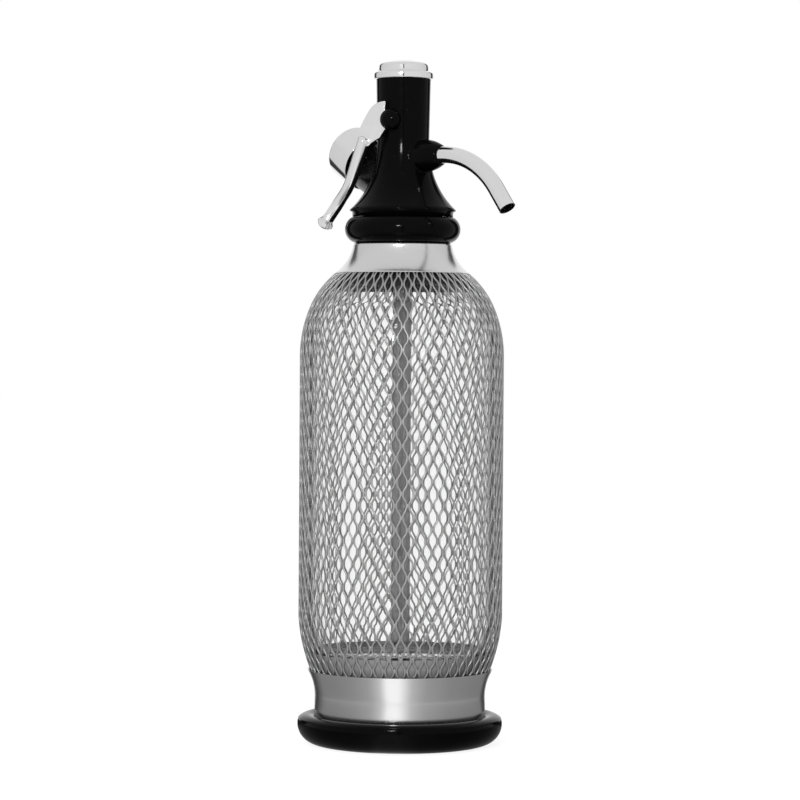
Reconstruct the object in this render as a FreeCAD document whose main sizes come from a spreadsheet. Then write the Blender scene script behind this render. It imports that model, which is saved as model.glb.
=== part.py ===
"""Soda siphon: a wire-jacketed glass bottle with a black screw-on head, spout, press lever and charger port.

Millimetres, +Z up. The origin is the middle of the face that the siphon stands on and the spout points
along +X. The lever hangs behind the head, turned from the spout's plane to one side by lever_turn, and
the charger port stands beside it, turned to the other side by port_turn.
"""
import FreeCAD, Part
import math
import os
import re
import Sketcher

doc = FreeCAD.newDocument("soda_siphon")
sheet = doc.addObject("Spreadsheet::Sheet", "sizes")
NODES = []

# ---------------------------------------------------------------- driving dimensions
SIZES = {
    # clearances
    "running_gap": 0.05,
    "joint_gap": 0.3,
    "thread_gap": 0.15,
    "seat_gap": 0.02,
    # base ring
    "base_height": 13.5,
    "base_foot_radius": 40.2,
    "base_rim_radius": 49.8,
    "base_rim_drop": 0.8,
    "base_side_bulge": 4.0,
    "base_top_bulge": 1.3,
    "base_floor": 3.5,
    "base_shelf": 2.0,
    "band_seat_depth": 5.5,
    # bottle cup
    "cup_skirt_radius": 39.5,
    "cup_skirt_wall": 2.5,
    "cup_skirt_top": 30.0,
    "cup_seat_height": 39.8,
    "cup_floor": 3.0,
    "cup_rim_height": 8.5,
    "cup_rim_wall": 1.2,
    "cup_rim_inset": 4.6,
    "cup_neck_inset": 2.4,
    "cup_bowl_reach": 1.2,
    "cup_bowl_rise": 3.6,
    "cup_floor_blend": 3.0,
    # base band
    "band_height": 23.0,
    "band_waist_radius": 41.9,
    "band_waist_height": 10.5,
    "band_top_radius": 45.6,
    "band_flare": 0.9,
    "band_wall": 0.8,
    # wire jacket
    "jacket_radius": 50.0,
    "jacket_top_radius": 31.5,
    "jacket_bottom_radius": 43.0,
    "wire_width": 0.9,
    "wire_count": 57,
    "cell_height": 11.0,
    "jacket_tuck": 3.0,
    "jacket_foot_rise": 3.5,
    "jacket_heel_curve": 150.0,
    "jacket_heel_ease": 0.9,
    "jacket_heel_inset": 1.2,
    "jacket_heel_lift": 0.6,
    "jacket_span": 32.0,
    "jacket_shoulder_share": 0.24,
    "jacket_crest_spread": 6.2,
    "jacket_crest_drop": 6.0,
    "jacket_end_inset": 1.4,
    "jacket_end_rise": 1.5,
    # bottle
    "heel_height": 25.5,
    "straight_height": 128.0,
    "shoulder_height": 40.3,
    "jacket_gap": 0.75,
    "glass_wall": 3.6,
    "glass_floor": 6.0,
    "heel_radius": 34.5,
    "heel_corner": 6.5,
    "upper_shoulder_drop": 5.7,
    "upper_shoulder_height": 25.6,
    "upper_shoulder_bulge": 1.43,
    "lower_shoulder_bulge": 1.02,
    "heel_bulge": 0.6,
    "heel_spread": 2.6,
    "heel_round": 1.7,
    "inner_heel_rise": 5.0,
    "inner_shoulder_drop": 1.5,
    "neck_hollow": 0.6,
    "glass_neck_radius": 16.0,
    "glass_mouth_radius": 12.2,
    "neck_blend": 3.0,
    # shoulder ring
    "ring_gap": 2.4,
    "ring_tuck": 5.8,
    "ring_spread": 6.8,
    "ring_lip": 1.2,
    "ring_step_rise": 0.9,
    "ring_step_inset": 0.8,
    "ring_neck_spread": 1.4,
    "ring_neck_drop": 2.0,
    "ring_crest": 1.0,
    # neck collar
    "collar_height": 15.0,
    "collar_foot_radius": 32.8,
    "collar_top_radius": 24.3,
    "collar_hollow": 1.45,
    "collar_edge": 1.8,
    "collar_wall": 0.8,
    # neck ring
    "ring_height": 12.2,
    "ring_foot_radius": 23.8,
    "ring_lip_radius": 25.4,
    "ring_bulge": 3.7,
    "ring_thread_radius": 19.4,
    # head body
    "skirt_radius": 24.7,
    "skirt_height": 2.3,
    "rim_radius": 26.0,
    "rim_height": 1.2,
    "cone_height": 17.8,
    "cone_top_radius": 14.9,
    "cone_hollow": 1.35,
    "waist_radius": 12.75,
    "waist_height": 17.0,
    "waist_hollow": 0.45,
    "barrel_height": 46.0,
    "barrel_top_radius": 13.3,
    "head_ceiling": 7.2,
    "mouth_drop": 2.0,
    "rim_slope": 0.7,
    # top cap
    "cap_height": 9.5,
    "cap_flange_radius": 14.7,
    "cap_flange_height": 3.4,
    "cap_drum_radius": 12.5,
    "cap_drum_height": 3.6,
    "cap_crown_radius": 10.6,
    "cap_wall": 1.6,
    "cap_thread_radius": 8.5,
    "cap_thread_length": 7.0,
    "guide_flange": 1.6,
    "guide_rise": 5.0,
    # valve bore
    "spring_bore": 8.6,
    "gland_radius": 6.5,
    "gland_length": 3.5,
    "ring_pocket": 4.6,
    "ring_depth": 2.0,
    "guide_radius": 2.7,
    "guide_length": 2.0,
    "chamber_radius": 5.5,
    "chamber_rise": 2.4,
    "seat_bore": 7.0,
    "seat_depth": 4.6,
    # valve parts
    "stem_radius": 2.4,
    "stem_rise": 12.0,
    "stem_step": 0.9,
    "collar_radius": 8.2,
    "collar_thickness": 3.0,
    "seat_ring_hole": 3.7,
    "seat_ring_length": 2.5,
    "disc_radius": 5.4,
    "disc_thickness": 2.8,
    "nut_radius": 4.6,
    "nut_length": 2.7,
    "spring_radius": 5.4,
    "spring_wire": 1.0,
    "spring_turns": 3.0,
    # riser
    "valve_room": 2.0,
    "holder_radius": 7.0,
    "holder_nose": 8.0,
    "holder_nose_radius": 6.2,
    "holder_bore": 3.2,
    "riser_radius": 4.6,
    "riser_wall": 1.2,
    "riser_socket": 14.0,
    "riser_foot_gap": 4.5,
    # spout
    "spout_rise": 8.2,
    "spout_radius": 4.15,
    "spout_wall": 0.6,
    "spout_start": 12.0,
    "spout_bend_start": 25.6,
    "spout_bend_radius": 42.4,
    "spout_bend_angle": 54.0,
    "spout_end_length": 11.6,
    "boss_radius": 7.9,
    "boss_length": 25.2,
    "boss_nose_radius": 4.6,
    "boss_nose_length": 11.2,
    "boss_nose_bulge": 0.85,
    "boss_overlap": 1.0,
    "spout_ring_start": 3.0,
    "spout_bore": 2.6,
    "spout_ring_wall": 1.3,
    "spout_ring_length": 2.0,
    # charger port
    "port_turn": 14.0,
    "port_tilt": 25.3,
    "port_rise": 9.0,
    "port_radius": 12.2,
    "port_length": 42.0,
    "port_thread_radius": 10.8,
    "port_thread_length": 8.5,
    "port_overlap": 2.5,
    "port_cavity": 7.0,
    "gas_slot_inset": 0.5,
    "gas_bore": 1.0,
    "gas_offset": 10.5,
    "gas_depth": 17.0,
    "gas_slot_depth": 1.0,
    # charger fittings
    "nipple_bore": 4.8,
    "nipple_length": 11.0,
    "nipple_floor": 3.0,
    "needle_radius": 0.8,
    "needle_length": 6.0,
    "needle_head": 2.2,
    "needle_head_length": 1.0,
    "washer_length": 1.5,
    "check_disc_radius": 5.5,
    "check_disc_length": 2.0,
    "check_disc_travel": 0.8,
    # charger cap
    "charger_cap_radius": 13.6,
    "charger_cap_length": 18.0,
    "charger_cap_wall": 1.6,
    "charger_cap_round": 1.4,
    "charger_cap_crown": 0.8,
    "cap_seal_length": 1.2,
    "cap_grip_gap": 0.4,
    # lever
    "lever_turn": 17.0,
    "pivot_rise": 25.5,
    "ear_gap": 13.8,
    "ear_thickness": 2.2,
    "lobe_radius": 4.2,
    "pivot_radius": 2.5,
    "ear_front": 2.6,
    "ear_nose_rise": 1.2,
    "ear_heel_out": 2.6,
    "ear_heel_drop": 2.8,
    "near_tail_out": 9.3,
    "near_tail_drop": 6.8,
    "near_tip_out": 14.2,
    "near_tip_drop": 3.2,
    "near_back_out": 13.0,
    "far_tail_out": 7.0,
    "far_tail_drop": 2.4,
    "far_back_out": 9.6,
    "ear_back_rise": 2.6,
    "ear_crest_out": 8.2,
    "ear_crest_drop": 4.0,
    "ear_brow_out": 5.2,
    "ear_brow_drop": 1.2,
    "ear_top": 8.8,
    "ear_bottom": 5.9,
    "yoke_radius": 14.1,
    "yoke_wall": 1.9,
    "yoke_bottom": 5.0,
    "yoke_top": 6.1,
    "finger_width": 5.2,
    "finger_reach": 4.6,
    "finger_height": 2.9,
    "finger_rise": 3.5,
    "window_gap": 0.6,
    "window_start": 3.0,
    "window_reach": 4.0,
    "arm_root_out": 14.6,
    "arm_root_drop": 10.5,
    "knee_out": 24.1,
    "knee_side": 10.4,
    "knee_drop": 31.9,
    "knee_bend": 26.0,
    "handle_end_out": 40.0,
    "handle_end_side": 1.2,
    "handle_end_drop": 47.0,
    "handle_radius": 2.9,
    "tip_radius": 4.2,
    "tip_length": 5.0,
    # pivot screws
    "screw_head_radius": 4.9,
    "screw_head_height": 0.5,
    "screw_dome": 2.4,
    "screw_depth": 9.6,
    "screw_hole_end": 0.2,
}
for row, (alias, number) in enumerate(SIZES.items(), start=1):
    sheet.set(f"A{row}", alias.replace("_", " "))
    sheet.set(f"B{row}", str(number))
    sheet.setAlias(f"B{row}", alias)
doc.recompute()

# ---------------------------------------------------------------- levels, from the ground up
BAND_TOP = "(base_height + band_height)"
HEEL_TOP = f"({BAND_TOP} + heel_height)"
SHOULDER = f"({HEEL_TOP} + straight_height)"
COLLAR_FOOT = f"({SHOULDER} + shoulder_height)"
COLLAR_TOP = f"({COLLAR_FOOT} + collar_height)"
RING_TOP = f"({COLLAR_TOP} + ring_height)"
HEAD_FOOT = f"({RING_TOP} + joint_gap)"
RIM = f"({HEAD_FOOT} + skirt_height)"
CONE_FOOT = f"({RIM} + rim_height)"
CONE_TOP = f"({CONE_FOOT} + cone_height)"
BARREL_TOP = f"({CONE_TOP} + barrel_height)"
CEILING = f"({HEAD_FOOT} + head_ceiling)"
SPOUT_AXIS = f"({CONE_TOP} + spout_rise)"
PIVOT = f"({CONE_TOP} + pivot_rise)"
PORT_AXIS = f"({CONE_FOOT} + port_rise)"
MOUTH = f"({CEILING} - mouth_drop)"
COLLAR_SHELF = f"({PIVOT} + finger_rise)"
SEAT_TOP = f"({SPOUT_AXIS} - seat_depth)"
DISC_TOP = f"({SEAT_TOP} - seat_ring_length - seat_gap)"
NUT_FOOT = f"({DISC_TOP} - disc_thickness - nut_length)"
CHAMBER_TOP = f"({SPOUT_AXIS} + chamber_rise)"
POCKET = f"({CHAMBER_TOP} + guide_length)"
GLAND = f"({POCKET} + ring_depth)"
LEDGE = f"({GLAND} + gland_length)"
LEVER_YAW = "(180 + lever_turn)"
PORT_YAW = "(180 - port_turn)"
PORT_PITCH = "(90 - port_tilt)"
NEEDLE_FOOT = "(port_length - nipple_length - needle_head_length)"
PORT_FLOOR = f"({NEEDLE_FOOT} - check_disc_length - check_disc_travel - 3 * seat_gap)"


# ---------------------------------------------------------------- helpers
def bound(expression):
    """Put the sheet's name before every alias in an expression."""
    return re.sub(r"[a-z_]+", lambda word: "sizes." + word[0] if word[0] in SIZES else word[0], str(expression))


def value(expression):
    """The number that an expression of aliases stands for."""
    return float(sheet.evalExpression(bound(expression)))


def place(thing, x="0", y="0", z="0", yaw="0", pitch="0", roll="0"):
    """Bind an object's place and turn to the sheet."""
    turn = f"rotation({yaw}; {pitch}; {roll})"
    thing.setExpression("Placement", bound(f"placement(vector({x}; {y}; {z}); {turn})"))
    return thing


def arc_radius(start, end, bulge):
    """The radius of the arc from start to end that stands out from its chord by bulge."""
    half_chord = f"((({end[0]}) - ({start[0]}))^2 + (({end[1]}) - ({start[1]}))^2) / 4"
    return f"(({half_chord}) + ({bulge})^2) / (2 * ({bulge}))"


def dome_bulge(start, end):
    """How far an arc that ends on the axis, and is centred on it, stands out from its chord."""
    width, rise = start[0] - end[0], end[1] - start[1]
    radius = (width ** 2 + rise ** 2) / (2 * abs(rise))
    return math.copysign(radius - math.sqrt(radius ** 2 - (width ** 2 + rise ** 2) / 4), rise)


def edge_shape(start, end, bulge):
    """The sketch edge between two corners: a line, or an arc that bulges right (left with a minus)."""
    first = FreeCAD.Vector(*start, 0)
    last = FreeCAD.Vector(*end, 0)
    if not bulge:
        return Part.LineSegment(first, last)
    along = (last - first).normalize()
    right = FreeCAD.Vector(along.y, -along.x, 0)
    middle = (first + last) * 0.5 + right * bulge
    return Part.Arc(first, middle, last)


def outline(body, corners):
    """A closed sketch on the body's XZ plane, every corner and arc radius bound to the sheet.

    A corner is (across, up[, bulge]). The bulge says how far the edge that ends there bows to the right
    of its own direction, or to the left with a minus; "dome" centres that edge's arc on the body's axis.
    """
    sketch = body.newObject("Sketcher::SketchObject", "outline")
    plane = next(one for one in body.Origin.OriginFeatures if one.Role == "XZ_Plane")
    sketch.AttachmentSupport = [(plane, "")]
    sketch.MapMode = "FlatFace"
    points = [(value(corner[0]), value(corner[1])) for corner in corners]
    starts = []
    for index, corner in enumerate(corners):
        following = corners[(index + 1) % len(corners)]
        bulge = following[2] if len(following) > 2 else ""
        start, end = points[index], points[(index + 1) % len(corners)]
        if bulge == "dome":
            amount = dome_bulge(start, end)
        else:
            amount = value(bulge) if bulge else 0.0
        inward = amount < 0
        edge = sketch.addGeometry(edge_shape(start, end, amount))
        starts.append((edge, 2 if inward else 1, 1 if inward else 2))
        if bulge == "dome":
            sketch.addConstraint(Sketcher.Constraint("PointOnObject", edge, 3, -2))
        elif bulge:
            radius = arc_radius(corner, following, bulge.lstrip("-"))
            held = sketch.addConstraint(Sketcher.Constraint("Radius", edge, value(radius)))
            sketch.setExpression(f"Constraints[{held}]", bound(radius))
    for index, corner in enumerate(corners):
        edge, first, _ = starts[index]
        before, _, last = starts[index - 1]
        sketch.addConstraint(Sketcher.Constraint("Coincident", before, last, edge, first))
        for name, axis, expression in (("DistanceX", -2, corner[0]), ("DistanceY", -1, corner[1])):
            if str(expression) == "0":
                sketch.addConstraint(Sketcher.Constraint("PointOnObject", edge, first, axis))
                continue
            held = sketch.addConstraint(Sketcher.Constraint(name, -1, 1, edge, first, value(expression)))
            sketch.setExpression(f"Constraints[{held}]", bound(expression))
    return sketch


def turned(label, corners):
    """A body turned about Z from a closed outline of (radius, height[, bulge of the edge before])."""
    body = doc.addObject("PartDesign::Body", label)
    sketch = outline(body, corners)
    turn = body.newObject("PartDesign::Revolution", label + "_turn")
    turn.Profile = sketch
    turn.ReferenceAxis = (sketch, ["V_Axis"])
    turn.Angle = 360
    body.Tip = turn
    return body


def padded(label, corners, thickness):
    """A plate on the XZ plane from a closed outline, thickened evenly to both sides of the plane."""
    body = doc.addObject("PartDesign::Body", label)
    sketch = outline(body, corners)
    pad = body.newObject("PartDesign::Pad", label + "_pad")
    pad.Profile = sketch
    pad.Midplane = True
    pad.setExpression("Length", bound(thickness))
    body.Tip = pad
    return body


def cylinder(name, radius, length, **where):
    """A plain cylinder for holes and shanks."""
    shape = doc.addObject("Part::Cylinder", name)
    shape.setExpression("Radius", bound(radius))
    shape.setExpression("Height", bound(length))
    return place(shape, **where)


def box(name, length, width, height, **where):
    """A plain box, centred across its width."""
    shape = doc.addObject("Part::Box", name)
    shape.setExpression("Length", bound(length))
    shape.setExpression("Width", bound(width))
    shape.setExpression("Height", bound(height))
    return place(shape, **where)


def joined(name, *pieces):
    """Several shapes fused into one."""
    fusion = doc.addObject("Part::MultiFuse", name)
    fusion.Shapes = list(pieces)
    fusion.Refine = False
    return fusion


def cut(name, base, *tools):
    """A shape with others cut out of it."""
    tool = tools[0] if len(tools) == 1 else joined(name + "_tools", *tools)
    result = doc.addObject("Part::Cut", name)
    result.Base = base
    result.Tool = tool
    result.Refine = False
    return result


def node(label, thing):
    """Keep an object as a sub-part of its own name."""
    thing.Label = label
    NODES.append(thing)
    return thing


def at_port(thing):
    """Stand a shape that is turned about Z on the charger port's axis, its zero at the head's axis."""
    return place(thing, z=PORT_AXIS, yaw=PORT_YAW, pitch=PORT_PITCH)


def at_lever(thing):
    """Turn a shape drawn in the spout's plane into the lever's plane."""
    return place(thing, yaw=LEVER_YAW)


def coil(name, radius, wire, length, turns, **where):
    """A compression spring of round wire, its ends inside the length."""
    path = doc.addObject("Part::Helix", name + "_path")
    path.setExpression("Radius", bound(radius))
    path.setExpression("Height", bound(f"{length} - {wire}"))
    path.setExpression("Pitch", bound(f"({length} - {wire}) / {turns}"))
    section = doc.addObject("Part::RegularPolygon", name + "_section")
    section.Polygon = 6
    section.setExpression("Circumradius", bound(f"{wire} / 2"))
    place(section, x=radius, roll="90")
    spring = doc.addObject("Part::Sweep", name)
    spring.Sections = [section]
    spring.Spine = (path, [])
    spring.Solid = True
    spring.Frenet = True
    return place(spring, **where)


# ---------------------------------------------------------------- base and bottle
def base_ring():
    """The black moulded foot: a shallow dish with a round side and a slightly domed top edge."""
    seat = "band_waist_radius"
    step = "(base_height - band_seat_depth)"
    shelf = f"({seat} - base_shelf)"
    corners = [
        ("0", "0"), ("base_foot_radius", "0"),
        ("base_rim_radius", "(base_height - base_rim_drop)", "base_side_bulge"),
        (seat, "base_height", "base_top_bulge"), (seat, step), (shelf, step), (shelf, "base_floor"),
        ("0", "base_floor"),
    ]
    node("base_ring", turned("base_ring", corners))


def bottle_cup():
    """The grey cup inside the band: a skirt that stands in the foot, a floor and a rim round the glass."""
    inner = "(cup_skirt_radius - cup_skirt_wall)"
    rim = f"({BAND_TOP} + cup_rim_height)"
    lip = "(jacket_radius - cup_rim_inset)"
    corners = [
        (inner, "base_floor"), ("cup_skirt_radius", "base_floor"), ("cup_skirt_radius", "cup_skirt_top"),
        ("(jacket_bottom_radius - cup_neck_inset)", f"({BAND_TOP} - jacket_tuck)"),
        ("(jacket_bottom_radius + cup_bowl_reach)", f"({BAND_TOP} + cup_bowl_rise)"), (lip, rim, "0.2"),
        (f"({lip} - cup_rim_wall)", rim), ("(heel_radius + 2 * joint_gap)", "cup_seat_height", "-1.45"),
        ("0", "cup_seat_height"), ("0", "(cup_seat_height - cup_floor)"),
        (f"({inner} - cup_floor_blend)", "(cup_seat_height - cup_floor)"),
        (inner, "(cup_seat_height - cup_floor - cup_floor_blend)"),
    ]
    node("bottle_cup", turned("bottle_cup", corners))


def base_band():
    """The bright band round the bottle's foot, its waist in the foot and its top flared to the jacket."""
    foot = "(base_height - band_seat_depth)"
    waist = "(base_height + band_waist_height)"
    inner_waist = "(band_waist_radius - band_wall)"
    inner_top = "(band_top_radius - band_wall)"
    corners = [
        (inner_waist, foot), ("band_waist_radius", foot), ("band_waist_radius", waist),
        ("band_top_radius", BAND_TOP, "-band_flare"), (inner_top, BAND_TOP),
        (inner_waist, waist, "band_flare"),
    ]
    node("base_band", turned("base_band", corners))


JACKET = "(jacket_radius - 2 * wire_width - jacket_gap)"


def glass_bottle():
    """The clear bottle: heel, straight wall, shoulder and straight neck, open at the mouth."""
    stand = "(cup_seat_height + seat_gap)"
    heel = "(heel_radius + heel_corner + heel_spread)"
    heel_level = f"({stand} + heel_corner)"
    drop_radius = f"({JACKET} - upper_shoulder_drop)"
    drop = f"({SHOULDER} + upper_shoulder_height)"
    neck_side = "(glass_neck_radius + neck_blend)"
    neck_foot = f"({COLLAR_TOP} - collar_edge - neck_blend)"
    top_side = f"({JACKET} - (jacket_radius - jacket_top_radius) - ring_gap)"
    inner = f"({JACKET} - glass_wall)"
    floor = f"({stand} + glass_floor)"
    inner_foot = f"({COLLAR_FOOT} - glass_wall)"
    inner_heel = f"({heel} - glass_wall)"
    corners = [
        ("0", stand), ("heel_radius", stand), (heel, heel_level, "heel_round"),
        (JACKET, HEEL_TOP, "heel_bulge"), (JACKET, SHOULDER), (drop_radius, drop, "upper_shoulder_bulge"),
        (top_side, COLLAR_FOOT, "lower_shoulder_bulge"), (neck_side, neck_foot, "-neck_hollow"),
        ("glass_neck_radius", f"({neck_foot} + neck_blend)", "-neck_hollow"), ("glass_neck_radius", MOUTH),
        ("glass_mouth_radius", MOUTH), ("glass_mouth_radius", f"({neck_foot} + neck_blend)"),
        (f"({neck_side} - glass_wall)", neck_foot, "neck_hollow"),
        (f"({top_side} - glass_wall)", inner_foot, "neck_hollow"),
        (f"({drop_radius} - glass_wall)", f"({drop} - inner_shoulder_drop)", "-lower_shoulder_bulge"),
        (inner, SHOULDER, "-upper_shoulder_bulge"), (inner, HEEL_TOP),
        (inner_heel, f"({floor} + inner_heel_rise)", "-heel_bulge"), ("(heel_radius - 1)", floor, "-1.2"),
        ("0", floor),
    ]
    node("glass_bottle", turned("glass_bottle", corners))


def shoulder_ring():
    """The black packing between the glass's shoulder and the top of the jacket, up inside the collar."""
    neck_side = "(glass_neck_radius + neck_blend + joint_gap)"
    neck_foot = f"({COLLAR_TOP} - collar_edge - neck_blend)"
    top_side = f"({JACKET} - (jacket_radius - jacket_top_radius) - ring_gap + joint_gap)"
    edge = f"({JACKET} - (jacket_radius - jacket_top_radius) + ring_spread - joint_gap)"
    corners = [
        (top_side, COLLAR_FOOT), (f"({edge} - ring_lip)", f"({COLLAR_FOOT} - ring_tuck)", "-0.5"),
        (edge, f"({COLLAR_FOOT} - ring_tuck)"),
        (f"({JACKET} - (jacket_radius - jacket_top_radius) - joint_gap - ring_step_inset)",
         f"({COLLAR_FOOT} + ring_step_rise)"),
        ("(collar_top_radius - collar_wall - joint_gap + ring_neck_spread)", f"({neck_foot} - ring_neck_drop)",
         "-0.3"),
        ("(collar_top_radius - collar_wall - joint_gap)", f"({neck_foot} + ring_crest)"),
        (neck_side, f"({neck_foot} + ring_crest)"),
        (neck_side, neck_foot),
    ]
    node("shoulder_ring", turned("shoulder_ring", corners))


def jacket_guide():
    """The jacket's meridian, outer face, from inside the band to inside the collar."""
    straight = value("straight_height")
    foot, top = value(HEEL_TOP), value(SHOULDER)
    radius = value("jacket_radius")
    low = value(BAND_TOP)
    high = value(COLLAR_FOOT)
    drop = value("upper_shoulder_drop")
    guide = [
        (value("jacket_bottom_radius"), low - value("jacket_tuck")),
        (radius - value("heel_height^2 / jacket_heel_curve - jacket_heel_ease"), low + value("jacket_foot_rise")),
        (radius - value("jacket_heel_inset"), (low + foot) / 2 + value("jacket_heel_lift")),
    ]
    spans = max(2, round(straight / value("jacket_span")))
    guide += [(radius, foot + straight * step / spans) for step in range(spans + 1)]
    guide += [
        (radius - drop * value("jacket_shoulder_share"), top + value("upper_shoulder_height") / 2),
        (radius - drop, top + value("upper_shoulder_height")),
        (value("jacket_top_radius + jacket_crest_spread"), high - value("jacket_crest_drop")),
        (value("jacket_top_radius - jacket_end_inset"), high + value("jacket_end_rise")),
    ]
    return guide


def jacket_wire(guide, level, hand):
    """One wire of the jacket as a three-sided bar along its own helix, at one of the two layers."""
    width = value("wire_width")
    pitch_angle = 360.0 / value("wire_count") / value("cell_height")
    sections = []
    angle = 0.0
    for index, (radius, height) in enumerate(guide):
        if index:
            before = guide[index - 1]
            angle += hand * pitch_angle * math.dist((radius, height), before)
        turn = math.radians(angle)
        out = FreeCAD.Vector(math.cos(turn), math.sin(turn), 0)
        side = FreeCAD.Vector(-math.sin(turn), math.cos(turn), 0)
        deep = out * (radius - (level + 1) * width) + FreeCAD.Vector(0, 0, height)
        crest = deep + out * width
        points = [crest, deep + side * width / 2, deep - side * width / 2]
        sections.append(Part.makePolygon(points + points[:1]))
    return Part.makeLoft(sections, True, True)


def wire_jacket():
    """The jacket: right-hand wires inside left-hand wires, crossing as open diamonds."""
    guide = jacket_guide()
    count = int(value("wire_count"))
    axis = FreeCAD.Vector(0, 0, 1)
    wires = []
    for level, hand in ((0, -1), (1, 1)):
        first = jacket_wire(guide, level, hand)
        for index in range(count):
            wire = first.copy()
            wire.rotate(FreeCAD.Vector(), axis, 360.0 * index / count)
            wires.append(wire)
    jacket = doc.addObject("Part::Feature", "wire_jacket")
    jacket.Shape = Part.makeCompound(wires)
    node("wire_jacket", jacket)


def neck_collar():
    """The bright flared collar that closes the top of the jacket."""
    shoulder = f"({COLLAR_TOP} - collar_edge)"
    inner_foot = "(collar_foot_radius - collar_wall)"
    inner_top = "(collar_top_radius - collar_wall)"
    lip = "(collar_top_radius - collar_edge)"
    hole = "(glass_neck_radius + joint_gap)"
    corners = [
        (inner_foot, COLLAR_FOOT, "collar_hollow"), ("collar_foot_radius", COLLAR_FOOT),
        ("collar_top_radius", shoulder, "-collar_hollow"), (lip, COLLAR_TOP, "0.5"), (hole, COLLAR_TOP),
        (hole, f"({COLLAR_TOP} - collar_wall)"), (lip, f"({COLLAR_TOP} - collar_wall)"),
        (inner_top, f"({shoulder} - 0.3)", "-0.3"),
    ]
    node("neck_collar", turned("neck_collar", corners))


def neck_ring():
    """The black ring clamped on the neck, with the threaded sleeve that the head screws on."""
    hole = "(glass_neck_radius + running_gap)"
    sleeve_top = f"({MOUTH} - joint_gap)"
    corners = [
        (hole, COLLAR_TOP), ("ring_foot_radius", COLLAR_TOP), ("ring_lip_radius", RING_TOP, "ring_bulge"),
        ("ring_thread_radius", RING_TOP), ("ring_thread_radius", sleeve_top), (hole, sleeve_top),
    ]
    node("neck_ring", turned("neck_ring", corners))


# ---------------------------------------------------------------- head
def head_gasket():
    """The flat rubber washer that seals the head on the glass."""
    low = f"({MOUTH} + seat_gap)"
    high = f"({CEILING} - seat_gap)"
    inner = "(glass_mouth_radius + 0.3)"
    outer = "(ring_thread_radius - 1)"
    node("head_gasket", turned("head_gasket", [(inner, low), (outer, low), (outer, high), (inner, high)]))


def head_shell():
    """The head's own turned form with its stepped valve bore, still without its branches."""
    cavity = "(ring_thread_radius + thread_gap)"
    waist = f"({CONE_TOP} + waist_height)"
    corners = [
        (cavity, HEAD_FOOT), ("skirt_radius", HEAD_FOOT), ("skirt_radius", RIM), ("rim_radius", f"({RIM} + rim_slope)"),
        ("rim_radius", CONE_FOOT), ("cone_top_radius", CONE_TOP, "-cone_hollow"),
        ("waist_radius", waist, "-waist_hollow"), ("barrel_top_radius", BARREL_TOP),
        ("spring_bore", BARREL_TOP), ("spring_bore", LEDGE), ("gland_radius", LEDGE), ("gland_radius", GLAND),
        ("ring_pocket", GLAND), ("ring_pocket", POCKET), ("guide_radius", POCKET),
        ("guide_radius", CHAMBER_TOP), ("chamber_radius", CHAMBER_TOP), ("chamber_radius", SEAT_TOP),
        ("seat_bore", SEAT_TOP), ("seat_bore", CEILING), (cavity, CEILING),
    ]
    return turned("head_shell", corners)


def spout_boss():
    """The round boss that the spout leaves, tapered to a rounded nose."""
    neck = "(boss_length - boss_nose_length)"
    corners = [
        ("0", "chamber_radius + boss_overlap"), ("boss_radius", "chamber_radius + boss_overlap"), ("boss_radius", neck),
        ("boss_nose_radius", "boss_length", "boss_nose_bulge"), ("0", "boss_length"),
    ]
    return place(turned("spout_boss", corners), z=SPOUT_AXIS, pitch="90")


def port_branch():
    """The charger port as one round branch: plain barrel, then the thread that its cap screws on."""
    shoulder = "(port_length - port_thread_length)"
    corners = [
        ("0", "seat_bore + port_overlap"), ("port_radius", "seat_bore + port_overlap"), ("port_radius", shoulder),
        ("port_thread_radius", shoulder), ("port_thread_radius", "port_length"), ("0", "port_length"),
    ]
    return at_port(turned("port_branch", corners))


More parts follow.
